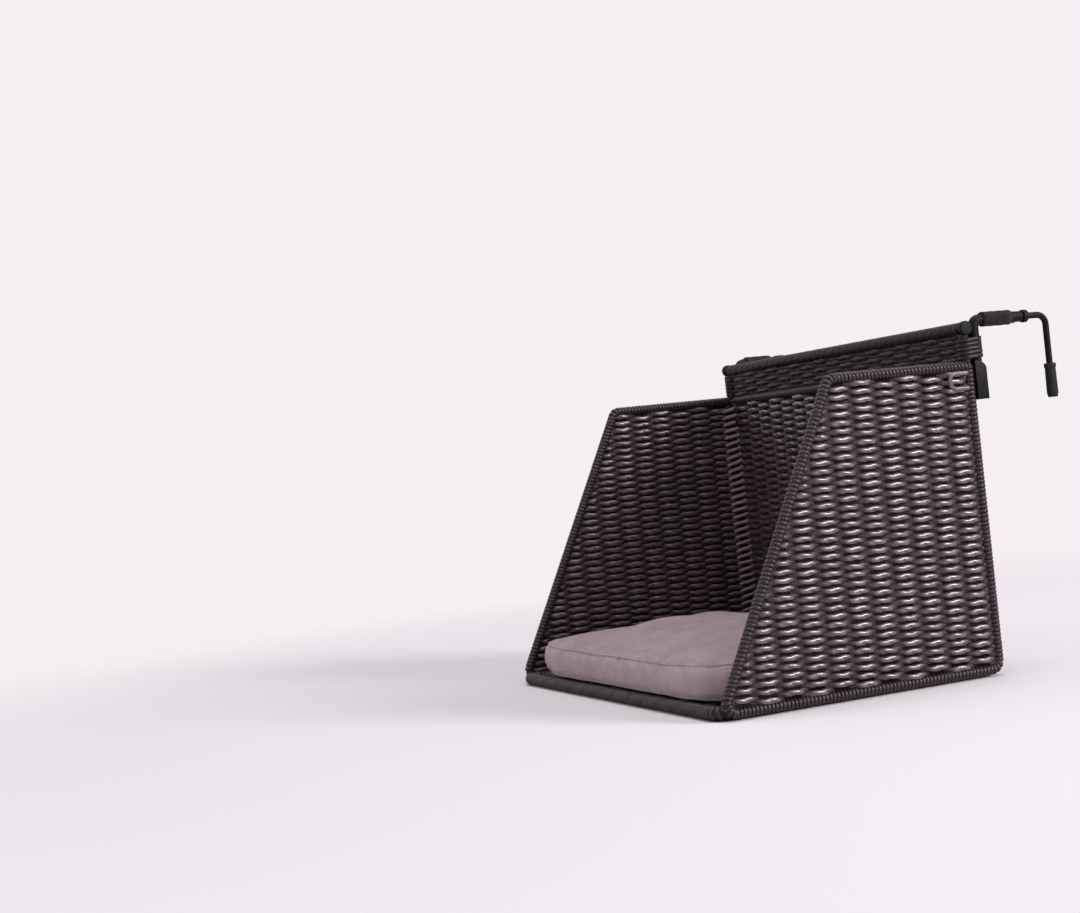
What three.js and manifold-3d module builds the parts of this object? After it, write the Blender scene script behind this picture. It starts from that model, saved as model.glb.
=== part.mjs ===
// Radiator cat bed: a woven basket with an open front and top, made of four flat panels.
// Each panel is a steel rod frame filled with woven paper cord, and the panels are laced together
// along their edges. A rail and two padded arms hang the basket over a panel radiator, and a rod
// hook slides in each arm to suit the thickness of the radiator. A loose cushion lies inside.
//
// Millimetres. X runs along the radiator, Y from the open front towards the radiator, Z up.
import * as THREE from "three";
import { mergeVertices } from "three/addons/utils/BufferGeometryUtils.js";
import Module from "manifold-3d";

const wasm = await Module();
wasm.setup();

// Driving dimensions
const bedWidth = 460; // over the two side panels
const basketDepth = 300; // from the front rim to the rear face of the back panel
const basketHeight = 290; // from the floor to the top rim of the back panel
const sideTopDepth = 160; // top edge of a side panel, which slopes forwards below it
const stripHeight = 36; // woven strip and rail above the back panel
const hookReach = 95; // from the back panel's rear face to the back of the hook tips
const hookDrop = 78; // from the middle of an arm down to the end of a hook tip

// Rods, bindings and the gaps between pieces
const fit = 0.3; // gap between two pieces that touch
const rodRadius = 3;
const rodGap = 2.4; // between the two neighbouring rods of a laced edge
const bindingThick = 2; // cord bound round a rod
const frontBindingThick = 3.5; // the front rim has a fuller binding
const baseThick = 12;
const roundSides = 16;
const rodSides = 10;

// Weave of the upright panels
const stakePitch = 25; // between the stakes, which the rows of cord pass in front of and behind by turns
const cordRadius = 2;
const stepsPerStake = 4; // facets of the swelling round each stake

// Corner brackets, which clamp the hanger to the basket
const bracketThick = 1.6;
const bracketHeight = 36;
const bracketBend = 1.2; // inner radius of its bends
const bracketFlangeLength = 20;
const rivetRadius = 2;
const rivetHeadRadius = 4.5;
const rivetHeadHeight = 1.8;
const rivetEdge = 6; // from the foot of a bracket, and from the bound rim, to its rivets

// Hanger
const railRadius = 6;
const railWall = 1.2;
const capHead = 6; // length of a rail cap outside the rail
const capPlug = 12; // length of a rail cap inside the rail
const capRim = 0.6; // how far a rail cap stands proud of the rail
const stripThick = 7;
const armRadius = 5;
const armLift = 7; // middle of an arm above the middle of the rail
const armBend = 7; // bend radius of an arm's middle line
const armLength = 62; // from the back panel's rear face to the arm's open end
const armBoreDepth = 54;
const sleeveThick = 2; // foam round an arm
const sleeveEdge = 2; // bare tube at each end of the foam
const slideGap = 0.4; // round the rod that slides in the arm
const bushLength = 5;
const bushThick = 2.6;
const bossRadius = 4.5; // threaded boss of the lock screw
const bossHeight = 2.5; // how far it stands out of the arm
const lockEdge = 7; // from the arm's open end to the lock screw
const lockRadius = 2;
const lockHeadRadius = 5.5;
const lockHeadLength = 6;
const lockHeadGap = 0.8; // between the boss and the screw's head
const hookRodStart = 21; // from the back panel's rear face to the inner end of the hook rod
const hookBend = 9;
const tipRadius = 5.5;
const tipLength = 32;

// Cushion
const cushionGap = 3; // between the cushion and the panels
const cushionFrontOverlap = 6; // how far its front lies over the front rim
const cushionSide = 34; // height of its boxed side
const cushionCrown = 16; // rise of its top above the side
const cushionPull = 6; // how far its sides draw in between the corners
const cushionBulge = 4; // how far the boxed side swells out at its middle height
const cushionCorner = 6; // exponent of the rounded rectangle, higher is squarer
const cushionCrownFall = 2.4; // exponent of the crown, higher is flatter on top

// Places that follow from the sizes
const bindingRadius = rodRadius + bindingThick;
const frontBindingRadius = rodRadius + frontBindingThick;
const sleeveRadius = armRadius + sleeveThick;
const panelThick = 2 * bindingRadius;
const rodPitch = 2 * rodRadius + rodGap;
const frontY = -(basketDepth + hookReach) / 2;
const backY = frontY + basketDepth;
const sideRodX = bedWidth / 2 - bindingRadius;
const backRodX = sideRodX - rodPitch;
const backRodY = backY - bindingRadius;
const baseRodY = backRodY - rodPitch;
const frontRodY = frontY + frontBindingRadius;
const baseRodZ = frontBindingRadius;
const topRodZ = basketHeight - bindingRadius;
const sideTopY = backY - sideTopDepth + bindingRadius;
const railY = backRodY;
const railZ = basketHeight + stripHeight - railRadius;
const armX = bedWidth / 2 - sleeveRadius;
const armZ = railZ + armLift;
const riserY = railY + railRadius + capRim + fit + armRadius;
const armEndY = backY + armLength;
const lockY = armEndY - lockEdge;
const hookY = backY + hookReach - tipRadius;
const bracketTopZ = basketHeight - fit;
const bracketBottomZ = bracketTopZ - bracketHeight;

// Finishes
const finish = {
  frame: { color: 0x1b1a1b, roughness: 0.5, metalness: 0.6 },
  weave: { color: 0x463e42, roughness: 0.45, metalness: 0 },
  strip: { color: 0x322a2c, roughness: 0.55, metalness: 0 },
  binding: { color: 0x3c3538, roughness: 0.45, metalness: 0 },
  plastic: { color: 0x17171a, roughness: 0.35, metalness: 0 },
  foam: { color: 0x1d1b1e, roughness: 0.9, metalness: 0 },
  rubber: { color: 0x151516, roughness: 0.85, metalness: 0 },
  rivet: { color: 0x2c2b2d, roughness: 0.3, metalness: 0.8 },
  cushion: { color: 0x6c6466, roughness: 0.95, metalness: 0 },
};

const v2 = (x, y) => new THREE.Vector2(x, y);
const v3 = (x, y, z) => new THREE.Vector3(x, y, z);
const alongX = v3(1, 0, 0);
const alongY = v3(0, 1, 0);
const alongZ = v3(0, 0, 1);

function piece(name, geometry, look) {
  const mesh = new THREE.Mesh(geometry, new THREE.MeshStandardMaterial(finish[look]));
  mesh.name = name;
  return mesh;
}

// A regular polygon round a circle of this radius, standing on one of its flats.
function roundOutline(radius, sides, centre = v2(0, 0)) {
  const reach = radius / Math.cos(Math.PI / sides);
  return Array.from({ length: sides }, (_, k) => {
    const angle = (2 * Math.PI * (k + 0.5)) / sides;
    return v2(centre.x + reach * Math.sin(angle), centre.y - reach * Math.cos(angle));
  });
}

// The section of a sleeve: an outline with a round bore at each given centre.
function boredShape(outline, boreRadius, centres) {
  const shape = new THREE.Shape(outline);
  for (const centre of centres) {
    shape.holes.push(new THREE.Path(roundOutline(boreRadius, rodSides, centre)));
  }
  return shape;
}

// The section of a binding that runs round two rods side by side: a slot with round ends.
function pairShape() {
  const half = rodPitch / 2;
  const outline = [];
  for (let k = 0; k <= roundSides / 2; k++) {
    const angle = (2 * Math.PI * k) / roundSides - Math.PI / 2;
    outline.push(v2(half + bindingRadius * Math.cos(angle), bindingRadius * Math.sin(angle)));
  }
  const otherEnd = outline.map((point) => v2(-point.x, -point.y));
  return boredShape([...outline, ...otherEnd], rodRadius + fit, [v2(-half, 0), v2(half, 0)]);
}

// Sets a piece that was extruded along its own Z on the line between two points, its own Y towards up.
function setAlong(mesh, from, to, up) {
  const along = to.clone().sub(from).normalize();
  const across = new THREE.Vector3().crossVectors(up, along).normalize();
  const upright = new THREE.Vector3().crossVectors(along, across);
  mesh.quaternion.setFromRotationMatrix(new THREE.Matrix4().makeBasis(across, upright, along));
  mesh.position.copy(from);
  return mesh;
}

function straightPiece(name, shape, from, to, up, look) {
  const geometry = new THREE.ExtrudeGeometry(shape, { depth: from.distanceTo(to), bevelEnabled: false });
  return setAlong(piece(name, geometry, look), from, to, up);
}

// Replaces each inner corner of an open path by an arc.
function roundCorners(points, radius, steps) {
  const path = [points[0]];
  for (let i = 1; i < points.length - 1; i++) {
    const into = points[i].clone().sub(points[i - 1]).normalize();
    const outOf = points[i + 1].clone().sub(points[i]).normalize();
    const turn = into.angleTo(outOf);
    const start = points[i].clone().addScaledVector(into, -radius * Math.tan(turn / 2));
    const inside = outOf.clone().addScaledVector(into, -into.dot(outOf)).normalize();
    const centre = start.clone().addScaledVector(inside, radius);
    for (let k = 0; k <= steps; k++) {
      const angle = (turn * k) / steps;
      const point = centre.clone().addScaledVector(inside, -radius * Math.cos(angle));
      path.push(point.addScaledVector(into, radius * Math.sin(angle)));
    }
  }
  path.push(points[points.length - 1]);
  return path;
}

// A round rod along a path that lies in one plane: one ring of points on the mitre plane of each
// corner, joined into a closed skin. A loop joins its last ring to its first.
function bentRod(corners, planeNormal, radius, sides, isLoop) {
  const positions = [];
  const faces = [];
  const count = corners.length;
  corners.forEach((corner, i) => {
    const before = corners[(i + count - 1) % count];
    const after = corners[(i + 1) % count];
    const into = corner.clone().sub(before).normalize();
    const outOf = after.clone().sub(corner).normalize();
    if (!isLoop && i === 0) into.copy(outOf);
    if (!isLoop && i === count - 1) outOf.copy(into);
    const along = into.clone().add(outOf).normalize();
    const sideways = new THREE.Vector3().crossVectors(planeNormal, along);
    for (let k = 0; k < sides; k++) {
      const angle = (2 * Math.PI * (k + 0.5)) / sides;
      const point = corner.clone().addScaledVector(planeNormal, radius * Math.sin(angle));
      point.addScaledVector(sideways, (radius * Math.cos(angle)) / along.dot(outOf));
      positions.push(point.x, point.y, point.z);
    }
  });
  const spans = isLoop ? count : count - 1;
  for (let i = 0; i < spans; i++) {
    for (let k = 0; k < sides; k++) {
      const a = i * sides + k;
      const b = i * sides + ((k + 1) % sides);
      const c = ((i + 1) % count) * sides + ((k + 1) % sides);
      const d = ((i + 1) % count) * sides + k;
      faces.push(a, b, c, a, c, d);
    }
  }
  if (!isLoop) {
    const last = (count - 1) * sides;
    for (let k = 1; k < sides - 1; k++) {
      faces.push(0, k + 1, k);
      faces.push(last, last + k, last + k + 1);
    }
  }
  const geometry = new THREE.BufferGeometry();
  geometry.setAttribute("position", new THREE.Float32BufferAttribute(positions, 3));
  geometry.setIndex(faces);
  geometry.computeVertexNormals();
  return geometry;
}

// A convex outline, drawn anticlockwise, with each edge moved inwards by its own distance.
function insetOutline(points, distances) {
  const count = points.length;
  const lines = points.map((point, i) => {
    const along = points[(i + 1) % count].clone().sub(point).normalize();
    const inwards = v2(-along.y, along.x);
    return { along, start: point.clone().addScaledVector(inwards, distances[i]) };
  });
  return lines.map((line, i) => {
    const before = lines[(i + count - 1) % count];
    const between = line.start.clone().sub(before.start);
    const reach = between.cross(line.along) / before.along.cross(line.along);
    return before.start.clone().addScaledVector(before.along, reach);
  });
}

// The outline of a strip of sheet bent along a path: its two faces lie half a thickness to each side.
function stripOutline(path, thickness) {
  const left = [];
  const right = [];
  path.forEach((point, i) => {
    const before = path[Math.max(i - 1, 0)];
    const after = path[Math.min(i + 1, path.length - 1)];
    const into = (i > 0 ? point.clone().sub(before) : after.clone().sub(point)).normalize();
    const outOf = (i < path.length - 1 ? after.clone().sub(point) : point.clone().sub(before)).normalize();
    const along = into.clone().add(outOf).normalize();
    const half = thickness / 2 / along.dot(outOf);
    const sideways = v3(-along.y, along.x, 0).multiplyScalar(half);
    left.push(v2(point.x + sideways.x, point.y + sideways.y));
    right.unshift(v2(point.x - sideways.x, point.y - sideways.y));
  });
  return [...right, ...left];
}

function toSolid(geometry, matrix) {
  const bare = geometry.index ? geometry.toNonIndexed() : geometry.clone();
  bare.deleteAttribute("normal");
  bare.deleteAttribute("uv");
  if (matrix) bare.applyMatrix4(matrix);
  const merged = mergeVertices(bare);
  const vertProperties = merged.attributes.position.array;
  const triVerts = new Uint32Array(merged.index.array);
  return new wasm.Manifold(new wasm.Mesh({ numProp: 3, vertProperties, triVerts }));
}

function toGeometry(solid) {
  const mesh = solid.getMesh();
  const geometry = new THREE.BufferGeometry();
  geometry.setAttribute("position", new THREE.Float32BufferAttribute(mesh.vertProperties, mesh.numProp));
  geometry.setIndex(Array.from(mesh.triVerts));
  geometry.computeVertexNormals();
  return geometry;
}

// The solid of a shape extruded from one point to another, its own Y towards up.
function straightSolid(shape, from, to, up) {
  const geometry = new THREE.ExtrudeGeometry(shape, { depth: from.distanceTo(to), bevelEnabled: false });
  const stand = setAlong(new THREE.Object3D(), from, to, up);
  stand.updateMatrix();
  return toSolid(geometry, stand.matrix);
}

// A level round bar from one point to another.
function straightBar(radius, from, to) {
  return straightSolid(new THREE.Shape(roundOutline(radius, rodSides)), from, to, alongZ);
}

// Drills level round holes into a solid, each from one point to another.
function drilled(solid, radius, holes) {
  const bars = holes.map(([from, to]) => straightBar(radius, from, to));
  return toGeometry(bars.reduce((rest, bar) => rest.subtract(bar), solid));
}

// A turned piece round its own Z, from a profile of radius and height.
function turned(profile, sides) {
  const geometry = new THREE.LatheGeometry(profile.map(([radius, height]) => v2(radius, height)), sides);
  return geometry.rotateX(Math.PI / 2);
}

// Panels: a rod frame, its woven filling and, further down, the bindings along its edges
const filledInset = bindingRadius + fit;
const rivetBore = rivetRadius + fit;
const stepX = armX - armRadius - fit - bracketThick / 2;
const rivetX = stepX - bracketFlangeLength / 2;
const rivetHeights = { upper: topRodZ - filledInset - rivetEdge, lower: bracketBottomZ + rivetEdge };

// The level section of an upright woven panel. The rows of cord swell out round each stake, in front and
// behind by turns, and cross at the middle of the panel halfway between two stakes.
function wovenSection(start, end, stake) {
  const swing = bindingRadius - cordRadius;
  const step = stakePitch / stepsPerStake;
  const places = [start];
  for (let k = Math.ceil((start + fit - stake) / step); stake + k * step < end - fit; k++) {
    places.push(stake + k * step);
  }
  places.push(end);
  const half = (place) => cordRadius + swing * Math.abs(Math.cos((Math.PI * (place - stake)) / stakePitch));
  const near = places.map((place) => v2(place, -half(place)));
  const far = places.map((place) => v2(place, half(place)));
  return new THREE.Shape([...near, ...far.reverse()]);
}

function basePanel() {
  const corners = [
    v2(-backRodX, frontRodY),
    v2(backRodX, frontRodY),
    v2(backRodX, baseRodY),
    v2(-backRodX, baseRodY),
  ];
  const insets = [frontBindingRadius + fit, filledInset, filledInset, filledInset];
  const filling = new THREE.Shape(insetOutline(corners, insets));
  const path = corners.map((corner) => v3(corner.x, corner.y, baseRodZ));
  const group = new THREE.Group();
  group.add(piece("base_frame", bentRod(path, alongZ, rodRadius, rodSides, true), "frame"));
  group.add(straightPiece("base_weave", filling, v3(0, 0, 0), v3(0, 0, baseThick), alongY, "weave"));
  return group;
}

function backPanel() {
  const corners = [
    v2(-backRodX, baseRodZ),
    v2(backRodX, baseRodZ),
    v2(backRodX, topRodZ),
    v2(-backRodX, topRodZ),
  ];
  const filledX = backRodX - filledInset;
  const filling = [v3(0, backRodY, baseRodZ + filledInset), v3(0, backRodY, topRodZ - filledInset)];
  const weave = straightSolid(wovenSection(-filledX, filledX, 0), ...filling, alongY);
  const holes = [-1, 1].flatMap((side) =>
    Object.values(rivetHeights).map((z) => [
      v3(side * rivetX, backRodY - panelThick, z),
      v3(side * rivetX, backRodY + panelThick, z),
    ]),
  );
  const path = corners.map((corner) => v3(corner.x, backRodY, corner.y));
  const group = new THREE.Group();
  group.add(piece("back_frame", bentRod(path, alongY, rodRadius, rodSides, true), "frame"));
  group.add(piece("back_weave", drilled(weave, rivetBore, holes), "weave"));
  return group;
}

// Side frame corners as Y and Z, anticlockwise from the bottom of the sloping front edge.
const sideCorners = [
  v2(frontRodY, baseRodZ),
  v2(backRodY, baseRodZ),
  v2(backRodY, topRodZ),
  v2(sideTopY, topRodZ),
];

function sidePanel(hand, side) {
  const outline = insetOutline(sideCorners, sideCorners.map(() => filledInset));
  const [filledFront, filledRear] = outline;
  const path = sideCorners.map((corner) => v3(side * sideRodX, corner.x, corner.y));
  const group = new THREE.Group();
  group.add(piece(`${hand}_side_frame`, bentRod(path, alongX, rodRadius, rodSides, true), "frame"));
  const middle = side * sideRodX;
  const section = wovenSection(filledFront.x, filledRear.x, filledRear.x - stakePitch / 2);
  const upright = [v3(middle, 0, filledFront.y), v3(middle, 0, topRodZ - filledInset)];
  const faces = [v3(middle - panelThick, 0, 0), v3(middle + panelThick, 0, 0)];
  const cut = straightSolid(new THREE.Shape(outline), ...faces, alongZ);
  const weave = straightSolid(section, ...upright, alongX.clone().negate()).intersect(cut);
  group.add(piece(`${hand}_side_weave`, toGeometry(weave), "weave"));
  return group;
}

// Bindings: cord wound closely round one rim rod, or round the two rods of a laced edge
function bindings() {
  const single = boredShape(roundOutline(bindingRadius, roundSides), rodRadius + fit, [v2(0, 0)]);
  const front = boredShape(roundOutline(frontBindingRadius, roundSides), rodRadius + fit, [v2(0, 0)]);
  const pair = pairShape();
  const group = new THREE.Group();

  const frontX = backRodX - rodRadius - fit;
  const frontFrom = v3(-frontX, frontRodY, baseRodZ);
  const frontTo = v3(frontX, frontRodY, baseRodZ);
  group.add(straightPiece("front_rim_binding", front, frontFrom, frontTo, alongZ, "binding"));

  const topX = backRodX - bindingRadius - fit;
  const topFrom = v3(-topX, backRodY, topRodZ);
  const topTo = v3(topX, backRodY, topRodZ);
  group.add(straightPiece("back_top_binding", single, topFrom, topTo, alongZ, "binding"));

  const lowY = (backRodY + baseRodY) / 2;
  const lowFrom = v3(-topX, lowY, baseRodZ);
  const lowTo = v3(topX, lowY, baseRodZ);
  group.add(straightPiece("base_back_binding", pair, lowFrom, lowTo, alongZ, "binding"));

  const slope = sideCorners[3].clone().sub(sideCorners[0]).normalize();
  const lowerEnd = (bindingRadius + fit + bindingRadius * slope.x) / slope.y;
  const halfTurn = Math.atan2(slope.y, slope.x) / 2;
  const upperEnd = bindingRadius * Math.tan(halfTurn) + fit;
  const rimFrom = sideCorners[0].clone().addScaledVector(slope, lowerEnd);
  const rimTo = sideCorners[3].clone().addScaledVector(slope, -upperEnd);
  const panelBackY = backRodY - bindingRadius - fit;
  const pairX = (sideRodX + backRodX) / 2;

  for (const [hand, side] of [["left", -1], ["right", 1]]) {
    const x = side * sideRodX;
    const rimLine = [v3(x, rimFrom.x, rimFrom.y), v3(x, rimTo.x, rimTo.y)];
    group.add(straightPiece(`${hand}_front_rim_binding`, single, ...rimLine, alongX, "binding"));
    const topLine = [v3(x, sideTopY + upperEnd, topRodZ), v3(x, panelBackY, topRodZ)];
    group.add(straightPiece(`${hand}_top_rim_binding`, single, ...topLine, alongZ, "binding"));
    const baseLine = [
      v3(side * pairX, frontRodY + frontBindingRadius + fit, baseRodZ),
      v3(side * pairX, baseRodY - rodRadius - fit, baseRodZ),
    ];
    group.add(straightPiece(`base_${hand}_binding`, pair, ...baseLine, alongZ, "binding"));
    const cornerLine = [
      v3(side * pairX, backRodY, baseRodZ + bindingRadius + fit),
      v3(side * pairX, backRodY, topRodZ - rodRadius - fit),
    ];
    group.add(straightPiece(`back_${hand}_binding`, pair, ...cornerLine, alongY, "binding"));
  }
  return group;
}

// Hanger strip: a tube rail with a plug in each end, and the woven strip between it and the back panel
function hangerStrip() {
  const group = new THREE.Group();
  const railHalf = bedWidth / 2 - capHead - fit;
  const railBore = railRadius - railWall;
  const railShape = new THREE.Shape(roundOutline(railRadius, roundSides));
  railShape.holes.push(new THREE.Path(roundOutline(railBore, roundSides)));
  const railFrom = v3(-railHalf, railY, railZ);
  const railTo = v3(railHalf, railY, railZ);
  group.add(straightPiece("hanger_rail", railShape, railFrom, railTo, alongZ, "frame"));

  const headRadius = railRadius + capRim;
  const plugRadius = (railBore - fit) * Math.cos(Math.PI / roundSides);
  const profile = [
    [0, -capPlug],
    [plugRadius, -capPlug],
    [plugRadius, fit],
    [headRadius, fit],
    [headRadius, capHead / 2],
    [headRadius * Math.SQRT1_2, capHead - capRim],
    [0, capHead],
  ];
  for (const [hand, side] of [["left", -1], ["right", 1]]) {
    const cap = piece(`rail_cap_${hand}`, turned(profile, roundSides), "plastic");
    const seat = v3(side * (bedWidth / 2 - capHead), railY, railZ);
    group.add(setAlong(cap, seat, v3(side * bedWidth, railY, railZ), alongZ));
  }

  const stripTop = railZ - railRadius - fit;
  const stripBottom = basketHeight + fit;
  const outline = [
    v2(-railHalf, railY - stripThick / 2),
    v2(railHalf, railY - stripThick / 2),
    v2(railHalf, railY + stripThick / 2),
    v2(-railHalf, railY + stripThick / 2),
  ];
  const strip = new THREE.Shape(outline);
  const stripLine = [v3(0, 0, stripBottom), v3(0, 0, stripTop)];
  group.add(straightPiece("hanger_strip_weave", strip, ...stripLine, alongY, "strip"));
  return group;
}

// Arm: a tube that climbs behind the back panel, bends over the radiator and guides the hook rod.
// A boss on its inner side holds the thumb screw that locks the rod.
function arm(hand, side) {
  const group = new THREE.Group();
  const x = side * armX;
  const bends = 4;
  const corners = [v3(x, riserY, bracketBottomZ), v3(x, riserY, armZ), v3(x, armEndY, armZ)];
  const tube = bentRod(roundCorners(corners, armBend, bends), alongX, armRadius, roundSides, false);
  const bossFace = v3(x - side * (armRadius + bossHeight), lockY, armZ);
  const armMiddle = v3(x, lockY, armZ);
  const body = toSolid(tube).add(straightBar(bossRadius, armMiddle, bossFace));
  const rodBore = [v3(x, armEndY - armBoreDepth, armZ), v3(x, armEndY + armRadius, armZ)];
  const screwBore = [armMiddle, v3(bossFace.x - side * bossHeight, lockY, armZ)];
  const bored = body.subtract(straightBar(rodRadius + slideGap, ...rodBore));
  group.add(piece(`${hand}_arm_tube`, drilled(bored, lockRadius + fit, [screwBore]), "frame"));

  const foam = new THREE.Shape(roundOutline(sleeveRadius, roundSides));
  foam.holes.push(new THREE.Path(roundOutline(armRadius + fit, roundSides)));
  const foamEndY = lockY - bossRadius - sleeveEdge;
  const foamLine = [v3(x, riserY + armBend + sleeveEdge, armZ), v3(x, foamEndY, armZ)];
  group.add(straightPiece(`${hand}_arm_sleeve`, foam, ...foamLine, alongZ, "foam"));

  const screwTip = rodRadius + fit;
  const headStart = armRadius + bossHeight + lockHeadGap - screwTip;
  const headEnd = headStart + lockHeadLength;
  const chamfer = lockHeadGap;
  const profile = [
    [0, 0],
    [lockRadius, 0],
    [lockRadius, headStart],
    [lockHeadRadius - chamfer, headStart],
    [lockHeadRadius, headStart + chamfer],
    [lockHeadRadius, headEnd - chamfer],
    [lockHeadRadius - chamfer, headEnd],
    [0, headEnd],
  ];
  const screw = piece(`${hand}_lock_screw`, turned(profile, roundSides), "plastic");
  group.add(setAlong(screw, v3(x - side * screwTip, lockY, armZ), v3(0, lockY, armZ), alongZ));

  const bush = boredShape(
    roundOutline(rodRadius + slideGap + bushThick, roundSides),
    rodRadius + slideGap,
    [v2(0, 0)],
  );
  const bushLine = [v3(x, armEndY + fit, armZ), v3(x, armEndY + fit + bushLength, armZ)];
  group.add(straightPiece(`${hand}_arm_bush`, bush, ...bushLine, alongZ, "plastic"));
  return group;
}

// Hook: a rod that slides in the arm, bends down behind the radiator and ends in a rubber tip
function hook(hand, side) {
  const group = new THREE.Group();
  const x = side * armX;
  const bends = 5;
  const tipBottomZ = armZ - hookDrop;
  const wall = tipRadius - rodRadius;
  const rodEndZ = tipBottomZ + wall;
  const corners = [v3(x, backY + hookRodStart, armZ), v3(x, hookY, armZ), v3(x, hookY, rodEndZ)];
  const rod = bentRod(roundCorners(corners, hookBend, bends), alongX, rodRadius, rodSides, false);
  group.add(piece(`${hand}_hook_rod`, rod, "frame"));

  const boreRadius = (rodRadius + fit) / Math.cos(Math.PI / roundSides);
  const profile = [
    [0, 0],
    [tipRadius * Math.SQRT1_2, 0],
    [tipRadius, tipRadius / 2],
    [tipRadius, tipLength - wall / 2],
    [tipRadius - wall / 2, tipLength],
    [boreRadius, tipLength],
    [boreRadius, wall - fit],
    [0, wall - fit],
  ];
  const tip = piece(`${hand}_hook_tip`, turned(profile, roundSides), "rubber");
  tip.position.set(x, hookY, tipBottomZ);
  group.add(tip);
  return group;
}

// Bracket: sheet steel bent round the riser of the arm like a clip, behind the corner of the basket.
// Its flange is riveted through the back panel above and below.
function bracket(hand, side) {
  const group = new THREE.Group();
  const legX = armX + armRadius + fit + bracketThick / 2;
  const backLegY = riserY + armRadius + fit + bracketThick / 2;
  const flangeY = backY + fit + bracketThick / 2;
  const bends = 3;
  const corners = [
    v3(legX, backY + fit, 0),
    v3(legX, backLegY, 0),
    v3(stepX, backLegY, 0),
    v3(stepX, flangeY, 0),
    v3(stepX - bracketFlangeLength, flangeY, 0),
  ];
  const path = roundCorners(corners, bracketBend + bracketThick / 2, bends);
  const mirrored = path.map((point) => v3(side * point.x, point.y, 0));
  const shape = new THREE.Shape(stripOutline(mirrored, bracketThick));
  const sheet = new THREE.ExtrudeGeometry(shape, { depth: bracketHeight, bevelEnabled: false });
  sheet.translate(0, 0, bracketBottomZ);
  const past = bracketThick;
  const holes = Object.values(rivetHeights).map((z) => [
    v3(side * rivetX, flangeY - past, z),
    v3(side * rivetX, flangeY + past, z),
  ]);
  group.add(piece(`${hand}_corner_bracket`, drilled(toSolid(sheet), rivetBore, holes), "frame"));

  const grip = bracketThick + panelThick + 3 * fit;
  const rivetOutline = [
    [0, -rivetHeadHeight],
    [rivetHeadRadius * Math.SQRT1_2, -rivetHeadHeight * Math.SQRT1_2],
    [rivetHeadRadius, 0],
    [rivetRadius, 0],
    [rivetRadius, grip],
    [rivetHeadRadius, grip],
    [rivetHeadRadius * Math.SQRT1_2, grip + rivetHeadHeight * Math.SQRT1_2],
    [0, grip + rivetHeadHeight],
  ];
  for (const [place, z] of Object.entries(rivetHeights)) {
    const rivet = piece(`${hand}_${place}_rivet`, turned(rivetOutline, rodSides), "rivet");
    const seat = v3(side * rivetX, flangeY + bracketThick / 2 + fit, z);
    group.add(setAlong(rivet, seat, v3(side * rivetX, frontY, z), alongZ));
  }
  return group;
}

// Cushion: rings of points cross the flat underside, climb the boxed side and close over the crown.
// A ring is a rounded rectangle whose straight sides draw in between the corners.
function cushion() {
  const around = 56;
  const underRings = 4;
  const sideRings = 5;
  const crownRings = 8;
  const halfX = sideRodX - bindingRadius - cushionGap;
  const cushionFrontY = frontY + cushionFrontOverlap;
  const cushionBackY = backY - panelThick - rivetHeadHeight - cushionGap;
  const halfY = (cushionBackY - cushionFrontY) / 2;
  const middleY = (cushionBackY + cushionFrontY) / 2;
  const lowZ = baseThick + fit;
  const profile = [];
  for (let i = 1; i <= underRings; i++) {
    profile.push({ share: i / underRings, out: -cushionBulge, z: 0 });
  }
  for (let i = 1; i <= sideRings; i++) {
    const angle = Math.PI * (i / (sideRings + 1) - 0.5);
    const z = (cushionSide * (1 + Math.sin(angle))) / 2;
    profile.push({ share: 1, out: cushionBulge * (Math.cos(angle) - 1), z });
  }
  for (let i = crownRings; i > 0; i--) {
    const share = i / crownRings;
    const z = cushionSide + cushionCrown * (1 - share ** cushionCrownFall);
    profile.push({ share, out: -cushionBulge, z });
  }
  const positions = [0, middleY, lowZ];
  for (const { share, out, z } of profile) {
    for (let k = 0; k < around; k++) {
      const angle = (2 * Math.PI * k) / around;
      const cx = Math.sign(Math.cos(angle)) * Math.abs(Math.cos(angle)) ** (2 / cushionCorner);
      const cy = Math.sign(Math.sin(angle)) * Math.abs(Math.sin(angle)) ** (2 / cushionCorner);
      const x = (halfX + out - cushionPull * (1 - cy * cy)) * cx * share;
      const y = (halfY + out - cushionPull * (1 - cx * cx)) * cy * share;
      positions.push(x, middleY + y, lowZ + z);
    }
  }
  positions.push(0, middleY, lowZ + cushionSide + cushionCrown);
  const faces = [];
  const top = 1 + profile.length * around;
  const last = top - around;
  for (let k = 0; k < around; k++) {
    const next = (k + 1) % around;
    faces.push(0, 1 + next, 1 + k);
    for (let i = 0; i < profile.length - 1; i++) {
      const low = 1 + i * around;
      const high = low + around;
      faces.push(low + k, low + next, high + next, low + k, high + next, high + k);
    }
    faces.push(last + k, last + next, top);
  }
  const geometry = new THREE.BufferGeometry();
  geometry.setAttribute("position", new THREE.Float32BufferAttribute(positions, 3));
  geometry.setIndex(faces);
  geometry.computeVertexNormals();
  return piece("cushion", geometry, "cushion");
}

const bed = new THREE.Group();
bed.add(basePanel(), backPanel(), bindings(), hangerStrip(), cushion());
for (const [hand, side] of [["left", -1], ["right", 1]]) {
  bed.add(sidePanel(hand, side), arm(hand, side), bracket(hand, side), hook(hand, side));
}

export default bed;
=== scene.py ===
import math

import bpy
import numpy as np
from mathutils import Matrix, Vector


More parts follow.
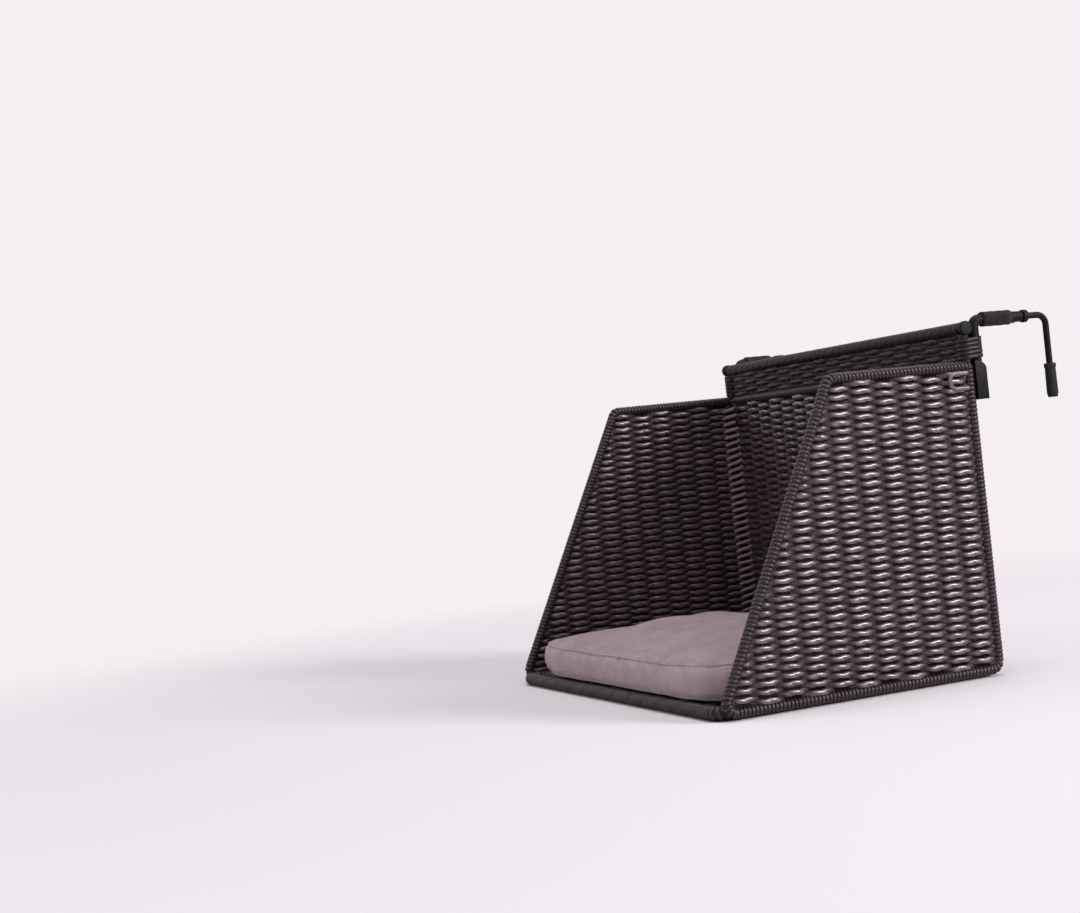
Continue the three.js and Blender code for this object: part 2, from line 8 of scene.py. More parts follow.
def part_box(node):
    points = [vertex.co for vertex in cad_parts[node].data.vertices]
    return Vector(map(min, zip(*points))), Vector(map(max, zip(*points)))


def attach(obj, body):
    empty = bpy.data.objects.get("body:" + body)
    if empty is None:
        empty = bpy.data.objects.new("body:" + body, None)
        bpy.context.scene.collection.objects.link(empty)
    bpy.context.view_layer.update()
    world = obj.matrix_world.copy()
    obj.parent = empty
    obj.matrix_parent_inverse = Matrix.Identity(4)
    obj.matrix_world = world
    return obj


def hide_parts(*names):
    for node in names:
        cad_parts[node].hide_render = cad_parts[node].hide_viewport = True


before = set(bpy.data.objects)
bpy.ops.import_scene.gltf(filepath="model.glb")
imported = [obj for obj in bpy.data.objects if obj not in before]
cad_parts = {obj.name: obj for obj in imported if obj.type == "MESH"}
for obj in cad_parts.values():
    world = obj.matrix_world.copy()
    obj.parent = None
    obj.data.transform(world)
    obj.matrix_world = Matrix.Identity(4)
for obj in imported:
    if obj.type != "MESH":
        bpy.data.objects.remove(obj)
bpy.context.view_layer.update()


# Studio: a wide pale floor that fades into a pale backdrop, soft lamps above and to both sides, and a
# camera to the right of the open front. Nothing in this section is part of the bed.
def srgb(red, green, blue):
    """A colour written as three steps of 0 to 255, as the linear values that shaders and lamps take."""
    share = np.array([red, green, blue]) / 255
    linear = np.where(share <= 0.04045, share / 12.92, ((share + 0.055) / 1.055) ** 2.4)
    return (*linear.tolist(), 1.0)


class Value:
    """A number that changes over a surface. Arithmetic on it adds Math nodes to its finish."""

    def __init__(self, finish, socket):
        self.finish = finish
        self.socket = socket

    def maths(self, operation, first, second=0.0):
        return self.finish.node("ShaderNodeMath", {"operation": operation}, {0: first, 1: second})

    def __add__(self, other):
        return self.maths("ADD", self, other)

    __radd__ = __add__

    def __sub__(self, other):
        return self.maths("SUBTRACT", self, other)

    def __rsub__(self, other):
        return self.maths("SUBTRACT", other, self)

    def __mul__(self, other):
        return self.maths("MULTIPLY", self, other)

    __rmul__ = __mul__

    def sine(self):
        return self.maths("SINE", self)

    def fraction(self):
        return self.maths("FRACT", self)

    def size(self):
        return self.maths("ABSOLUTE", self)

    def between(self, low, high):
        """0 below low, 1 above high and a smooth rise between them."""
        settings = {"interpolation_type": "SMOOTHSTEP"}
        return self.finish.node("ShaderNodeMapRange", settings, {0: self, 1: low, 2: high})


class Finish:
    """One material and its slot: its Principled shader with its even values, and the nodes that feed it."""

    def __init__(self, name, even, slot=None):
        self.slot = slot or name
        self.material = bpy.data.materials.new(name)
        self.material.use_nodes = True
        self.tree = self.material.node_tree
        self.surface = self.tree.nodes["Principled BSDF"]
        for socket, value in even.items():
            self.surface.inputs[socket].default_value = value

    def node(self, kind, settings, sockets, output=0):
        made = self.tree.nodes.new(kind)
        for name, value in settings.items():
            setattr(made, name, value)
        for name, value in sockets.items():
            if isinstance(value, Value):
                self.tree.links.new(value.socket, made.inputs[name])
            else:
                made.inputs[name].default_value = value
        return Value(self, made.outputs[output])

    def mix(self, share, first, second):
        """The first colour where share is 0 and the second where it is 1."""
        settings = {"data_type": "RGBA", "clamp_factor": True}
        return self.node("ShaderNodeMix", settings, {0: share, 6: first, 7: second}, 2)

    def place(self):
        return self.node("ShaderNodeTexCoord", {}, {}, "Object")

    def noise(self, scale, detail, roughness):
        sockets = {"Vector": self.place(), "Scale": scale, "Detail": detail, "Roughness": roughness}
        return self.node("ShaderNodeTexNoise", {}, sockets)

    def cells(self, scale):
        return self.node("ShaderNodeTexVoronoi", {}, {"Vector": self.place(), "Scale": scale}, "Distance")

    def bump(self, height, distance, strength):
        return self.node("ShaderNodeBump", {}, {"Height": height, "Distance": distance, "Strength": strength})

    def feed(self, **links):
        for name, value in links.items():
            self.tree.links.new(value.socket, self.surface.inputs[name.replace("_", " ").title()])


scene = bpy.context.scene
camera_place = Vector((1.585, -0.899, 0.239))
camera_aim = Vector((-0.067, -0.213, 0.244))
camera_roll = math.radians(-6.0)
camera_lens = 59.5
camera_data = bpy.data.cameras.new("camera")
camera_data.lens = camera_lens
camera = bpy.data.objects.new("camera", camera_data)
camera.location = camera_place
camera.rotation_mode = "QUATERNION"
level = (camera_aim - camera_place).to_track_quat("-Z", "Y")
camera.rotation_quaternion = level @ Matrix.Rotation(camera_roll, 4, "Z").to_quaternion()
scene.collection.objects.link(camera)
scene.camera = camera
scene.view_settings.view_transform = "Standard"

backdrop_colour = srgb(244, 240, 244)
floor_colour = srgb(233, 229, 233)
sky_strength = 0.34
floor_half = 14.0
floor_fade = (0.55, 1.5)


def oblong(left, right, near, far):
    """The four corners of an oblong, once round it."""
    return [(left, near), (right, near), (right, far), (left, far)]


floor_mesh = bpy.data.meshes.new("floor")
floor_corners = [(x, y, 0) for x, y in oblong(-floor_half, floor_half, -floor_half, floor_half)]
floor_mesh.from_pydata(floor_corners, [], [(0, 1, 2, 3)])
floor = bpy.data.objects.new("floor", floor_mesh)
scene.collection.objects.link(floor)

paper = Finish("studio_paper", {"Base Color": floor_colour, "Roughness": 0.9})
from_middle = paper.node("ShaderNodeVectorMath", {"operation": "LENGTH"}, {0: paper.place()}, "Value")
seen = paper.node("ShaderNodeLightPath", {}, {}, "Is Camera Ray")
mirrored = paper.node("ShaderNodeLightPath", {}, {}, "Is Glossy Ray")
glow = paper.node("ShaderNodeEmission", {}, {"Color": backdrop_colour})
far_away = from_middle.between(*floor_fade) * (seen + mirrored)
blend = paper.node("ShaderNodeMixShader", {}, {0: far_away, 2: glow})
paper.tree.links.new(paper.surface.outputs[0], blend.socket.node.inputs[1])
paper.tree.links.new(blend.socket, paper.tree.nodes["Material Output"].inputs[0])
floor_mesh.materials.append(paper.material)

world = bpy.data.worlds.new("studio")
world.use_nodes = True
sky = world.node_tree.nodes["Background"]
sky.inputs["Color"].default_value = backdrop_colour
rays = world.node_tree.nodes.new("ShaderNodeLightPath")
strength = None
for ray in ("Is Camera Ray", "Is Glossy Ray", "Is Transmission Ray"):
    add = world.node_tree.nodes.new("ShaderNodeMath")
    add.operation = "MULTIPLY_ADD"
    add.use_clamp = True
    add.inputs[1].default_value = 1 - sky_strength
    add.inputs[2].default_value = sky_strength
    world.node_tree.links.new(rays.outputs[ray], add.inputs[0])
    if strength:
        world.node_tree.links.new(strength, add.inputs[2])
    strength = add.outputs[0]
world.node_tree.links.new(strength, sky.inputs["Strength"])
scene.world = world

lamp_target = Vector((0, 0, 0.15))
lamps = {
    "rear_right_lamp": ((3.6, 2.4, 1.9), 1.3, 158),
    "front_left_lamp": ((-3.0, -3.4, 2.4), 2.0, 22),
    "overhead_lamp": ((0.2, 0.2, 4.0), 1.8, 74),
}
for name, (place, width, watts) in lamps.items():
    light = bpy.data.lights.new(name, "AREA")
    light.size = width
    light.energy = watts
    holder = bpy.data.objects.new(name, light)
    holder.location = place
    holder.rotation_euler = (lamp_target - holder.location).to_track_quat("-Z", "Y").to_euler()
    scene.collection.objects.link(holder)


# Rod frames: 6 mm steel rod bent into one loop for each panel, welded at its ends and powder coated
# black. The cord covers nearly all of it.
def skin(rings, closed=False, along=None):
    """A closed skin over rings of points, an array of rings by points by 3. Quads join neighbouring rings,
    and a fan closes each end, or quads join the last ring to the first. Faces point outwards. The surface
    map holds the given length along the skin and the share of a turn round it."""
    count, around = rings.shape[:2]
    along = np.arange(count, dtype=float) if along is None else along
    spans = count if closed else count - 1
    i, k = (grid.ravel() for grid in np.meshgrid(np.arange(spans), np.arange(around), indexing="ij"))
    after, beside = (i + 1) % count, (k + 1) % around
    quads = np.stack([i * around + k, i * around + beside, after * around + beside, after * around + k], 1)
    upper = np.where(after > i, along[after], along[i] + along[1] - along[0])
    quad_map = np.stack([along[i], k, along[i], k + 1, upper, k + 1, upper, k], 1).reshape(-1, 4, 2)
    points = rings.reshape(-1, 3)
    triangles, fan_map = np.zeros((0, 3), int), np.zeros((0, 3, 2))
    if not closed:
        points = np.concatenate([points, rings[[0, -1]].mean(1)])
        turn, last = np.arange(around), (count - 1) * around
        following = (turn + 1) % around
        start = np.stack([np.full(around, count * around), following, turn], 1)
        end = np.stack([np.full(around, count * around + 1), last + turn, last + following], 1)
        triangles = np.concatenate([start, end])
        fan_map = np.zeros((2 * around, 3, 2))
        fan_map[:around, :, 0], fan_map[around:, :, 0] = along[0], along[-1]
        fan_map[:, :, 1] = np.tile(turn, 2)[:, None]
    quad_map[:, :, 1] /= around
    fan_map[:, :, 1] /= around
    a, b, c = points[np.concatenate([quads[:, :3], quads[:, [0, 2, 3]], triangles])].swapaxes(0, 1)
    if (np.cross(a, b) * c).sum() < 0:
        quads, quad_map = quads[:, ::-1], quad_map[:, ::-1]
        triangles, fan_map = triangles[:, ::-1], fan_map[:, ::-1]
    parts = {"points": points, "quads": quads, "quad_map": quad_map}
    return {**parts, "triangles": triangles, "fan_map": fan_map}


def piece(name, skins, finish, *nodes, body="basket"):
    """One object from closed skins, with its finish, the nodes it stands for and the CAD body that it
    rides on. Each skin also gets its own tone, a number from 0 to 1, so that like cords differ a little, and
    keeps its proud values, from 0 where it dips in between others to 1 where it stands out. The cord
    finishes paint shade where these are low and highlight where they are high."""
    starts = np.cumsum([0] + [len(s["points"]) for s in skins])
    quads = np.concatenate([s["quads"] + start for s, start in zip(skins, starts)])
    triangles = np.concatenate([s["triangles"] + start for s, start in zip(skins, starts)])
    surface_map = np.concatenate([s[part].reshape(-1, 2) for part in ("quad_map", "fan_map") for s in skins])
    mesh = bpy.data.meshes.new(name)
    mesh.vertices.add(starts[-1])
    mesh.vertices.foreach_set("co", np.concatenate([s["points"] for s in skins]).ravel())
    mesh.loops.add(quads.size + triangles.size)
    mesh.loops.foreach_set("vertex_index", np.concatenate([quads.ravel(), triangles.ravel()]))
    mesh.polygons.add(len(quads) + len(triangles))
    face_starts = [np.arange(len(quads)) * 4, quads.size + np.arange(len(triangles)) * 3]
    mesh.polygons.foreach_set("loop_start", np.concatenate(face_starts))
    mesh.update(calc_edges=True)
    mesh.uv_layers.new(name="surface_map").data.foreach_set("uv", surface_map.ravel())
    tones = np.random.default_rng(len(skins)).random(len(skins))
    stands = [s.get("proud", np.ones(len(s["points"]))) for s in skins]
    for attribute, values in (("tone", np.repeat(tones, np.diff(starts))), ("proud", np.concatenate(stands))):
        mesh.attributes.new(attribute, "FLOAT", "POINT").data.foreach_set("value", values)
    mesh.shade_smooth()
    mesh.materials.append(finish.material)
    made = bpy.data.objects.new(name, mesh)
    scene.collection.objects.link(made)
    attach(made, body)
    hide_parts(*nodes)
    return made


def unit(vectors):
    """The same directions with a length of 1."""
    return vectors / np.linalg.norm(vectors, axis=-1, keepdims=True)


def once_round(count):
    """Even angles once round a circle."""
    return np.linspace(0, 2 * np.pi, count, endpoint=False)


def rounded(corners, radius, closed=False, step=0.001):
    """A path with each corner replaced by an arc of this radius. Along each arc, the points are the arc's
    centre plus radius times the cosine and sine of the angle turned; straight stretches have two points."""
    corners = np.array(corners, float)
    count = len(corners)
    path = []
    for n in range(count):
        if not closed and n in (0, count - 1):
            path.append(corners[n][None])
            continue
        into = unit(corners[n] - corners[n - 1])
        out = unit(corners[(n + 1) % count] - corners[n])
        turn = np.arccos(np.clip(into @ out, -1, 1))
        inside = unit(out - into * (into @ out))
        angle = np.linspace(0, turn, max(3, math.ceil(radius * turn / step)))[:, None]
        start = corners[n] - into * radius * math.tan(turn / 2)
        path.append(start + inside * radius * (1 - np.cos(angle)) + into * radius * np.sin(angle))
    return np.concatenate(path)


def lengths_along(path):
    """The distance of each point of a path from its start, along it."""
    return np.concatenate([[0], np.cumsum(np.linalg.norm(np.diff(path, axis=0), axis=1))])


def resampled(path, step, closed=False):
    """Points at even steps of about this length along a path, and their distances along it."""
    path = np.concatenate([path, path[:1]]) if closed else np.array(path, float)
    distance = lengths_along(path)
    even = np.linspace(0, distance[-1], max(2, round(distance[-1] / step)) + 1)
    points = np.stack([np.interp(even, distance, path[:, axis]) for axis in range(3)], 1)
    return (points[:-1], even[:-1]) if closed else (points, even)


def frames_along(path, normal, closed=False):
    """The unit vectors along a path in one plane, across it in that plane, and square to the plane."""
    along = unit(np.roll(path, -1, 0) - np.roll(path, 1, 0) if closed else np.gradient(path, axis=0))
    normal = np.broadcast_to(np.array(normal, float), along.shape)
    return along, np.cross(normal, along), normal


def rod(path, radius, normal, closed=False, sides=16, end_round=0.0, bore=0.0, depth=None):
    """A round rod: at each point of a path in one plane, a circle of this radius square to the path. The
    radius, one number or one for each point of each circle, falls along a quarter circle over the last
    end_round of each end. A bored rod goes on with circles of the bore, from its end back to its start or
    as far as the depth."""
    _, across, up = frames_along(path, normal, closed)
    turn = once_round(sides)
    circle = np.cos(turn)[:, None] * across[:, None] + np.sin(turn)[:, None] * up[:, None]
    distance = lengths_along(path)
    radii = np.zeros((len(path), sides)) + radius
    if end_round:
        from_end = np.minimum(distance, distance[-1] - distance)
        fall = 1 - np.clip(from_end / end_round, 0, 1)
        radii = radii - end_round * (1 - np.sqrt(1 - fall**2))[:, None]
    rings = path[:, None] + radii[:, :, None] * circle
    if bore:
        inside = distance >= distance[-1] - (depth or distance[-1])
        rings = np.concatenate([rings, (path[:, None] + bore * circle)[inside][::-1]])
        return skin(rings, depth is None, np.concatenate([distance, distance[inside][::-1]]))
    return skin(rings, closed, distance)


class Box:
    """The box of a CAD node: its lowest and highest corner, its middle, and half of its lengths."""

    def __init__(self, node):
        self.low, self.high = (np.array(corner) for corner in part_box(node))
        self.middle = (self.low + self.high) / 2
        self.half = (self.high - self.low) / 2


powder = Finish("powder_coat", {"Metallic": 0.0, "Specular IOR Level": 0.13}, "frame_steel")
orange_peel = powder.noise(900, 2, 0.5)
scuffs = powder.noise(60, 5, 0.65).between(0.58, 0.78)
powder.feed(
    base_color=powder.mix(scuffs, srgb(15, 10, 11), srgb(32, 24, 26)),
    roughness=0.44 + scuffs * 0.2 + orange_peel * 0.1,
    normal=powder.bump(orange_peel, 0.0002, 0.6),
)

hands = {"left": -1, "right": 1}
rod_radius = 0.003
rod_bend = 0.008
frame_step = 0.003
base, back, top_rim = Box("base_frame"), Box("back_frame"), Box("right_top_rim_binding")
inner_x = back.high[0] - rod_radius
outer_x = Box("right_side_frame").middle[0]
front_y = base.low[1] + rod_radius
base_back_y = base.high[1] - rod_radius
back_y = back.middle[1]
low_z = base.middle[2]
high_z = top_rim.middle[2]
binding_radius = top_rim.half[2]
side_top_depth = 0.160
side_top_y = back_y - side_top_depth + 2 * binding_radius

base_loop = [(x, y, low_z) for x, y in oblong(-inner_x, inner_x, front_y, base_back_y)]
back_loop = [(x, back_y, z) for x, z in oblong(-inner_x, inner_x, low_z, high_z)]
side_outline = [(front_y, low_z), (back_y, low_z), (back_y, high_z), (side_top_y, high_z)]
loops = {"base_frame": (base_loop, (0, 0, 1)), "back_frame": (back_loop, (0, 1, 0))}
for hand, side in hands.items():
    loops[f"{hand}_side_frame"] = ([(side * outer_x, y, z) for y, z in side_outline], (1, 0, 0))
for node, (loop, normal) in loops.items():
    path, _ = resampled(rounded(loop, rod_bend, True), frame_step, True)
    piece(f"{node}_rod", [rod(path, rod_radius, normal, True)], powder, node)


# Woven panels: twisted cord goes in front of one stake and behind the next, and each row starts on the
# other side from the row below. The rows are beaten down until they touch. Each stake is eight thin rods
# side by side, and ends under the bound edges.
row_pitch = 0.0038
row_pitch_base = 0.0039
row_tuck = 0.001
row_edge_swing = 0.35
row_wander = 0.00022
row_wave = 0.09
row_jitter = 0.00012
swing_wander = 0.07
swing_wave = 0.06
cord_variation = 0.025
ply_radius = 0.00175
ply_offset = 0.00045
beaten = 1.42
cord_lay = 0.028
cord_step = 0.0024
cord_step_base = 0.0031
stake_pitch = 0.025
stake_radius = 0.001
stake_rods = (-7, -5, -3, -1, 1, 3, 5, 7)
under_binding = 0.0035


def twisted(path, up, along, radius_share, sides):
    """A cord of two plies twisted together. Round the path, the radius is that of two overlapping circles:
    offset times the size of cos(a) plus the root of ply radius squared less (offset times sin(a)) squared,
    where a is the angle round the cord less a full turn for each lay along it. The cord is taller than
    thick, because its neighbours press on its sides."""
    _, across, up = frames_along(path, up)
    turn = once_round(sides)
    angle = turn[None] - 2 * np.pi * along[:, None] / cord_lay
    reach = ply_offset * np.abs(np.cos(angle)) + np.sqrt(ply_radius**2 - (ply_offset * np.sin(angle)) ** 2)
    circle = np.cos(turn)[:, None] * across[:, None] + beaten * np.sin(turn)[:, None] * up[:, None]
    return skin(path[:, None] + radius_share * reach[:, :, None] * circle, False, along / cord_lay)


def drift(random, places, wave, size):
    """A slow wandering of about this size along a row: three sines of seeded phase and wavelength."""
    phases = random.uniform(0, 2 * np.pi, 3)
    waves = wave * random.uniform(0.6, 1.5, 3)
    return size * sum(np.sin(2 * np.pi * places / w + p) for w, p in zip(waves, phases)) / 2


def woven(seed, axes, low, high, middle, start_of, end_of, pitch, swing, stakes, step=cord_step, sides=10):
    """Rows of cord for one panel. A row runs along the first axis at a height on the second, and swings
    along the third by swing times the sine of a quarter turn times the cosine of half a turn per stake,
    which lies flat against each stake, with the sign changed every row."""
    random = np.random.default_rng(seed)
    along_axis, up_axis, through_axis = np.array(axes, float)
    low, high = low - row_tuck, high + row_tuck
    count = 2 * round((high - low) / pitch / 2)
    rows = []
    for n, height in enumerate(low + (np.arange(count) + 0.5) * (high - low) / count):
        start, end = start_of(height) - under_binding, end_of(height) + under_binding
        places = np.linspace(start, end, max(8, round((end - start) / step)))
        sign = 1 if n % 2 else -1
        nearest = (places - stakes[0]) / (stakes[1] - stakes[0])
        from_edge = np.clip(np.minimum(places - start, end - places) / (2 * under_binding), 0, 1)
        swung = sign * swing * np.sin(np.pi / 2 * np.cos(np.pi * nearest))
        swung = swung * (row_edge_swing + (1 - row_edge_swing) * from_edge)
        swung = swung * (1 + drift(random, places, swing_wave, swing_wander))
        lift = drift(random, places, row_wave, row_wander) + random.normal(0, row_jitter)
        path = places[:, None] * along_axis + (height + lift)[:, None] * up_axis
        path = path + (middle + swung)[:, None] * through_axis
        share = 1 + random.normal(0, cord_variation)
        row = twisted(path, up_axis, places + random.uniform(0, cord_lay), share, sides)
        # Proud: how far each point stands out of the panel's middle. The cord finish paints highlight where
        # it is high and shade where it is low.
        from_middle = np.abs(row["points"] @ through_axis - middle)
        row["proud"] = np.clip(from_middle / (abs(swing) + ply_radius), 0, 1)
        rows.append(row)
    return rows


def staked(axes, middle, stakes, low_of, high_of):
    """The stakes of one panel: straight rods along the second axis, several side by side at each place on
    the first."""
    along_axis, up_axis, through_axis = np.array(axes, float)
    made = []
    for place in np.add.outer(np.asarray(stakes), np.array(stake_rods) * stake_radius).ravel():
        heights = np.linspace(low_of(place) - under_binding, high_of(place) + under_binding, 12)
        path = place * along_axis + heights[:, None] * up_axis + middle * through_axis
        made.append(rod(path, stake_radius, through_axis, sides=8))
    return made


def cord_finish(name, dark, light, gloss, shine, slot=None):
    """Twisted paper cord with a clear coat: two plies with a groove between them, fine fibres that
    follow the plies, and a tone of its own for each cord. The groove follows the surface map and is painted
    darker, as painted shade. The colour is painted lighter where the cord stands out, as a painted highlight
    on the crests, and darker where it dips in between its neighbours, as painted shade, and the cord is
    duller there."""
    finish = Finish(name, {"Coat Roughness": 0.2, "Specular IOR Level": shine}, slot)
    turn = finish.node("ShaderNodeUVMap", {"uv_map": "surface_map"}, {})
    along, around = (finish.node("ShaderNodeSeparateXYZ", {}, {0: turn}, axis) for axis in range(2))
    tone, proud = (finish.node("ShaderNodeAttribute", {"attribute_name": name}, {}, "Fac")
                   for name in ("tone", "proud"))
    phase = (around - along) * 2
    # Crown is 1 over each ply and 0 in the groove between the plies. In the colour, the groove is painted
    # darker, as painted shade.
    crown = ((phase.fraction() - 0.5).size() * 2).between(0.04, 0.62)
    speckle = finish.noise(420, 3, 0.6)
    patches = finish.noise(38, 3, 0.6)
    fibres = (phase * (2 * np.pi * 7) + speckle * 7).sine() * 0.5 + 0.5
    # Painted highlight and painted shade: the colour is lighter on the crests and darker in the dips, by how
    # far the cord stands out, and the clear coat follows it too.
    relief_shading_and_gloss = proud.between(0.72, 1.0) * 0.88 + 0.12
    shade = (crown * 0.42 + fibres * 0.15 + patches * 0.35 + tone * 0.24 - 0.06) * relief_shading_and_gloss
    height = crown * 0.8 + fibres * 0.12 + speckle * 0.16
    finish.feed(
        base_color=finish.mix(shade, srgb(*dark), srgb(*light)),
        roughness=0.56 - crown * 0.1 - relief_shading_and_gloss * 0.14 + patches * 0.12,
        coat_weight=relief_shading_and_gloss * gloss,
        normal=finish.bump(height, 0.0004, 0.9),
    )
    return finish


def straight(edge):
    """An edge of a panel that lies at the same place all along it."""
    return lambda place: edge


woven_cord = cord_finish("woven_cord", (36, 21, 25), (108, 84, 90), 1.0, 0.5)
# The stakes share the woven cord's slot and are painted darker and duller: painted shade, where they sit
# inside the weave.
stake_cord = cord_finish("stake_cord", (20, 12, 14), (40, 28, 32), 0.05, 0.2, "woven_cord")
side_slope = (high_z - low_z) / (side_top_y - front_y)


def side_front(height):
    """The sloping front edge of a side panel: its depth at a height, clear of the binding."""
    return front_y + (height - low_z) / side_slope + binding_radius / math.sin(math.atan(side_slope))


def side_top(place):
    """The top of a side panel at a depth: the top rim, or the sloping edge less its binding."""
    return min(side_weave.high[2], low_z + (place - front_y) * side_slope - 2 * binding_radius)


side_weave = Box("right_side_weave")
side_axes = ((0, 1, 0), (0, 0, 1), (1, 0, 0))
side_stakes = side_weave.high[1] - stake_pitch / 2 - np.arange(11) * stake_pitch
cord_reach = ply_radius + ply_offset
side_swing = side_weave.half[0] - cord_reach
for hand, side in hands.items():
    rows = woven(11 + side, side_axes, side_weave.low[2], side_weave.high[2], side * outer_x, side_front,
                 straight(side_weave.high[1]), row_pitch, side * side_swing, side_stakes)
    piece(f"{hand}_side_weft", rows, woven_cord, f"{hand}_side_weave")
    stakes = staked(side_axes, side * outer_x, side_stakes, straight(side_weave.low[2]), side_top)
    piece(f"{hand}_side_stakes", stakes, stake_cord, f"{hand}_side_weave")

wall = Box("back_weave")
wall_axes = ((1, 0, 0), (0, 0, 1), (0, 1, 0))
wall_stakes = (np.arange(17) - 8) * stake_pitch
halves = {"lower": (wall.low[2], wall.middle[2]), "upper": (wall.middle[2], wall.high[2])}
for half, (bottom, top) in halves.items():
    rows = woven(21, wall_axes, bottom, top, back_y, straight(wall.low[0]), straight(wall.high[0]),
                 row_pitch, side_swing, wall_stakes)
    piece(f"back_weft_{half}", rows, woven_cord, "back_weave")
stakes = staked(wall_axes, back_y, wall_stakes, straight(wall.low[2]), straight(wall.high[2]))
piece("back_stakes", stakes, stake_cord, "back_weave")

ground = Box("base_weave")
ground_axes = ((1, 0, 0), (0, 1, 0), (0, 0, 1))
rows = woven(31, ground_axes, ground.low[1], ground.high[1], ground.middle[2], straight(ground.low[0]),
             straight(ground.high[0]), row_pitch_base, side_swing, wall_stakes, cord_step_base, 8)
piece("base_weft", rows, woven_cord, "base_weave")
stakes = staked(ground_axes, ground.middle[2], wall_stakes, straight(ground.low[1]), straight(ground.high[1]))
piece("base_stakes", stakes, stake_cord, "base_weave")


# Bound edges: the same cord, pressed flat, is wound closely round the rim rods, and round both rods where
# two panels meet, which laces the panels together.
turn_width = 0.0039
turn_overlap = 1.04
turn_roundness = 0.8
turn_variation = 0.05
turn_wave = 0.021
# Proud values of each wound turn's sides and ends: lower values paint them darker and duller, as painted
# shade between the turns.
turn_side_proud = 0.45
turn_end_proud = 0.2
front_turn_width = 0.0046
binding_thick = binding_radius - rod_radius
winding_step = 0.0008
core_depth = 0.0011
core_step = 0.002
core_end = 0.002


def round_loop(radius):
    """Where a cord's middle runs round one rod: a circle, with its outward directions."""
    angle = np.linspace(0, 2 * np.pi, 49)
    outwards = np.stack([np.cos(angle), np.sin(angle)], 1)
    return outwards * radius, outwards


def pair_loop(radius, apart):
    """Where a cord's middle runs round two rods this far apart: two half circles joined by straights."""
    angle = np.linspace(-np.pi / 2, np.pi / 2, 25)
    half = np.stack([np.cos(angle), np.sin(angle)], 1)
    outwards = np.concatenate([half, -half, half[:1]])
    centres = np.repeat([[apart / 2, 0], [-apart / 2, 0], [apart / 2, 0]], [25, 25, 1], 0)
    return centres + outwards * radius, outwards


def wound(path, normal, loop, seed, width=turn_width, thick=binding_thick, steps=14, sides=8):
    """A cord wound closely along a path. Its middle goes once round the loop for each width along the path,
    and its section is an oval, width along the path and thick away from it, a little uneven."""
    random = np.random.default_rng(seed)
    points, outwards = loop
    fine, distance = resampled(path, winding_step)
    along, across, up = frames_along(fine, normal)
    turns = distance[-1] / width - 1
    travelled = np.linspace(0, turns, round(turns * steps))
    place = (travelled + 0.5) * width
    round_share = lengths_along(points)
    round_share /= round_share[-1]
    share = travelled % 1

    def at(values, key, keys):
        return np.stack([np.interp(key, keys, values[:, axis]) for axis in range(values.shape[1])], 1)

    centre, forward, sideways, upright = (at(values, place, distance) for values in (fine, along, across, up))
    offset, out = at(points, share, round_share), unit(at(outwards, share, round_share))
    middle = centre + offset[:, :1] * sideways + offset[:, 1:] * upright
    outward = out[:, :1] * sideways + out[:, 1:] * upright
    uneven = 1 + drift(random, place, turn_wave, turn_variation)
    angle = once_round(sides)
    flat = np.sign(np.cos(angle)) * np.abs(np.cos(angle)) ** turn_roundness * width * turn_overlap / 2
    tall = np.sin(angle) * thick / 2
    rings = middle[:, None] + flat[:, None] * forward[:, None]
    rings = rings + (tall[None, :, None] * uneven[:, None, None]) * outward[:, None]
    made = skin(rings, False, lengths_along(middle) / cord_lay)
    # Painted shade between the turns: the sides and the ends of each turn get lower proud values.
    outer = np.clip(turn_side_proud + (1 - turn_side_proud) * np.sin(angle), 0, 1)
    made["proud"] = np.concatenate([np.tile(outer, len(rings)), [turn_end_proud, turn_end_proud]])
    return made


def evenly_shaded(made, proud):
    """The same skin, with one proud value all over, which sets its painted shade and highlight: 0 for what
    lies deeper than the cords round it, and a little under 1 for a cord that takes less painted highlight
    than a crest.
    """
    return {**made, "proud": np.full(len(made["points"]), proud)}


def shade_core(path, normal, radius):
    """The filling under a winding, which shows where a bend spreads the turns. It takes the cord's darkest
    colour all over, as painted shade in the gaps between the turns.
    """
    return evenly_shaded(rod(resampled(path, core_step)[0], radius, normal, sides=12, end_round=core_end), 0.0)


# The bound edges' cord is the woven cord painted darker and duller: painted shade, so the wound turns stay as
# dark as the weave.
rim_cord = cord_finish("rim_cord", (24, 13, 17), (62, 44, 49), 0.3, 0.25)
single = round_loop(rod_radius + binding_thick / 2)
double = pair_loop(rod_radius + binding_thick / 2, outer_x - inner_x)
upright_double = tuple(side_by_side[:, ::-1] for side_by_side in double)
low_binding_y = (back_y + base_back_y) / 2
pair_x = (inner_x + outer_x) / 2

corner_reach = 0.013
front_radius = Box("front_rim_binding").half[2]
front_corners = [(-inner_x, front_y + corner_reach, low_z), (-inner_x, front_y, low_z)]
front_corners += [(inner_x, front_y, low_z), (inner_x, front_y + corner_reach, low_z)]
front_line = rounded(front_corners, rod_bend)
front_loop = round_loop((rod_radius + front_radius) / 2)
front_turns = [wound(front_line, (0, 0, 1), front_loop, 41, front_turn_width, front_radius - rod_radius)]
front_turns.append(shade_core(front_line, (0, 0, 1), front_radius - core_depth))
piece("front_rim_winding", front_turns, rim_cord, "front_rim_binding")
top_line = [(-inner_x, back_y, high_z), (inner_x, back_y, high_z)]
piece("back_top_winding", [wound(top_line, (0, 0, 1), single, 42)], rim_cord, "back_top_binding")
low_line = [(-inner_x, low_binding_y, low_z), (inner_x, low_binding_y, low_z)]
piece("base_back_winding", [wound(low_line, (0, 0, 1), double, 43, steps=20)], rim_cord, "base_back_binding")

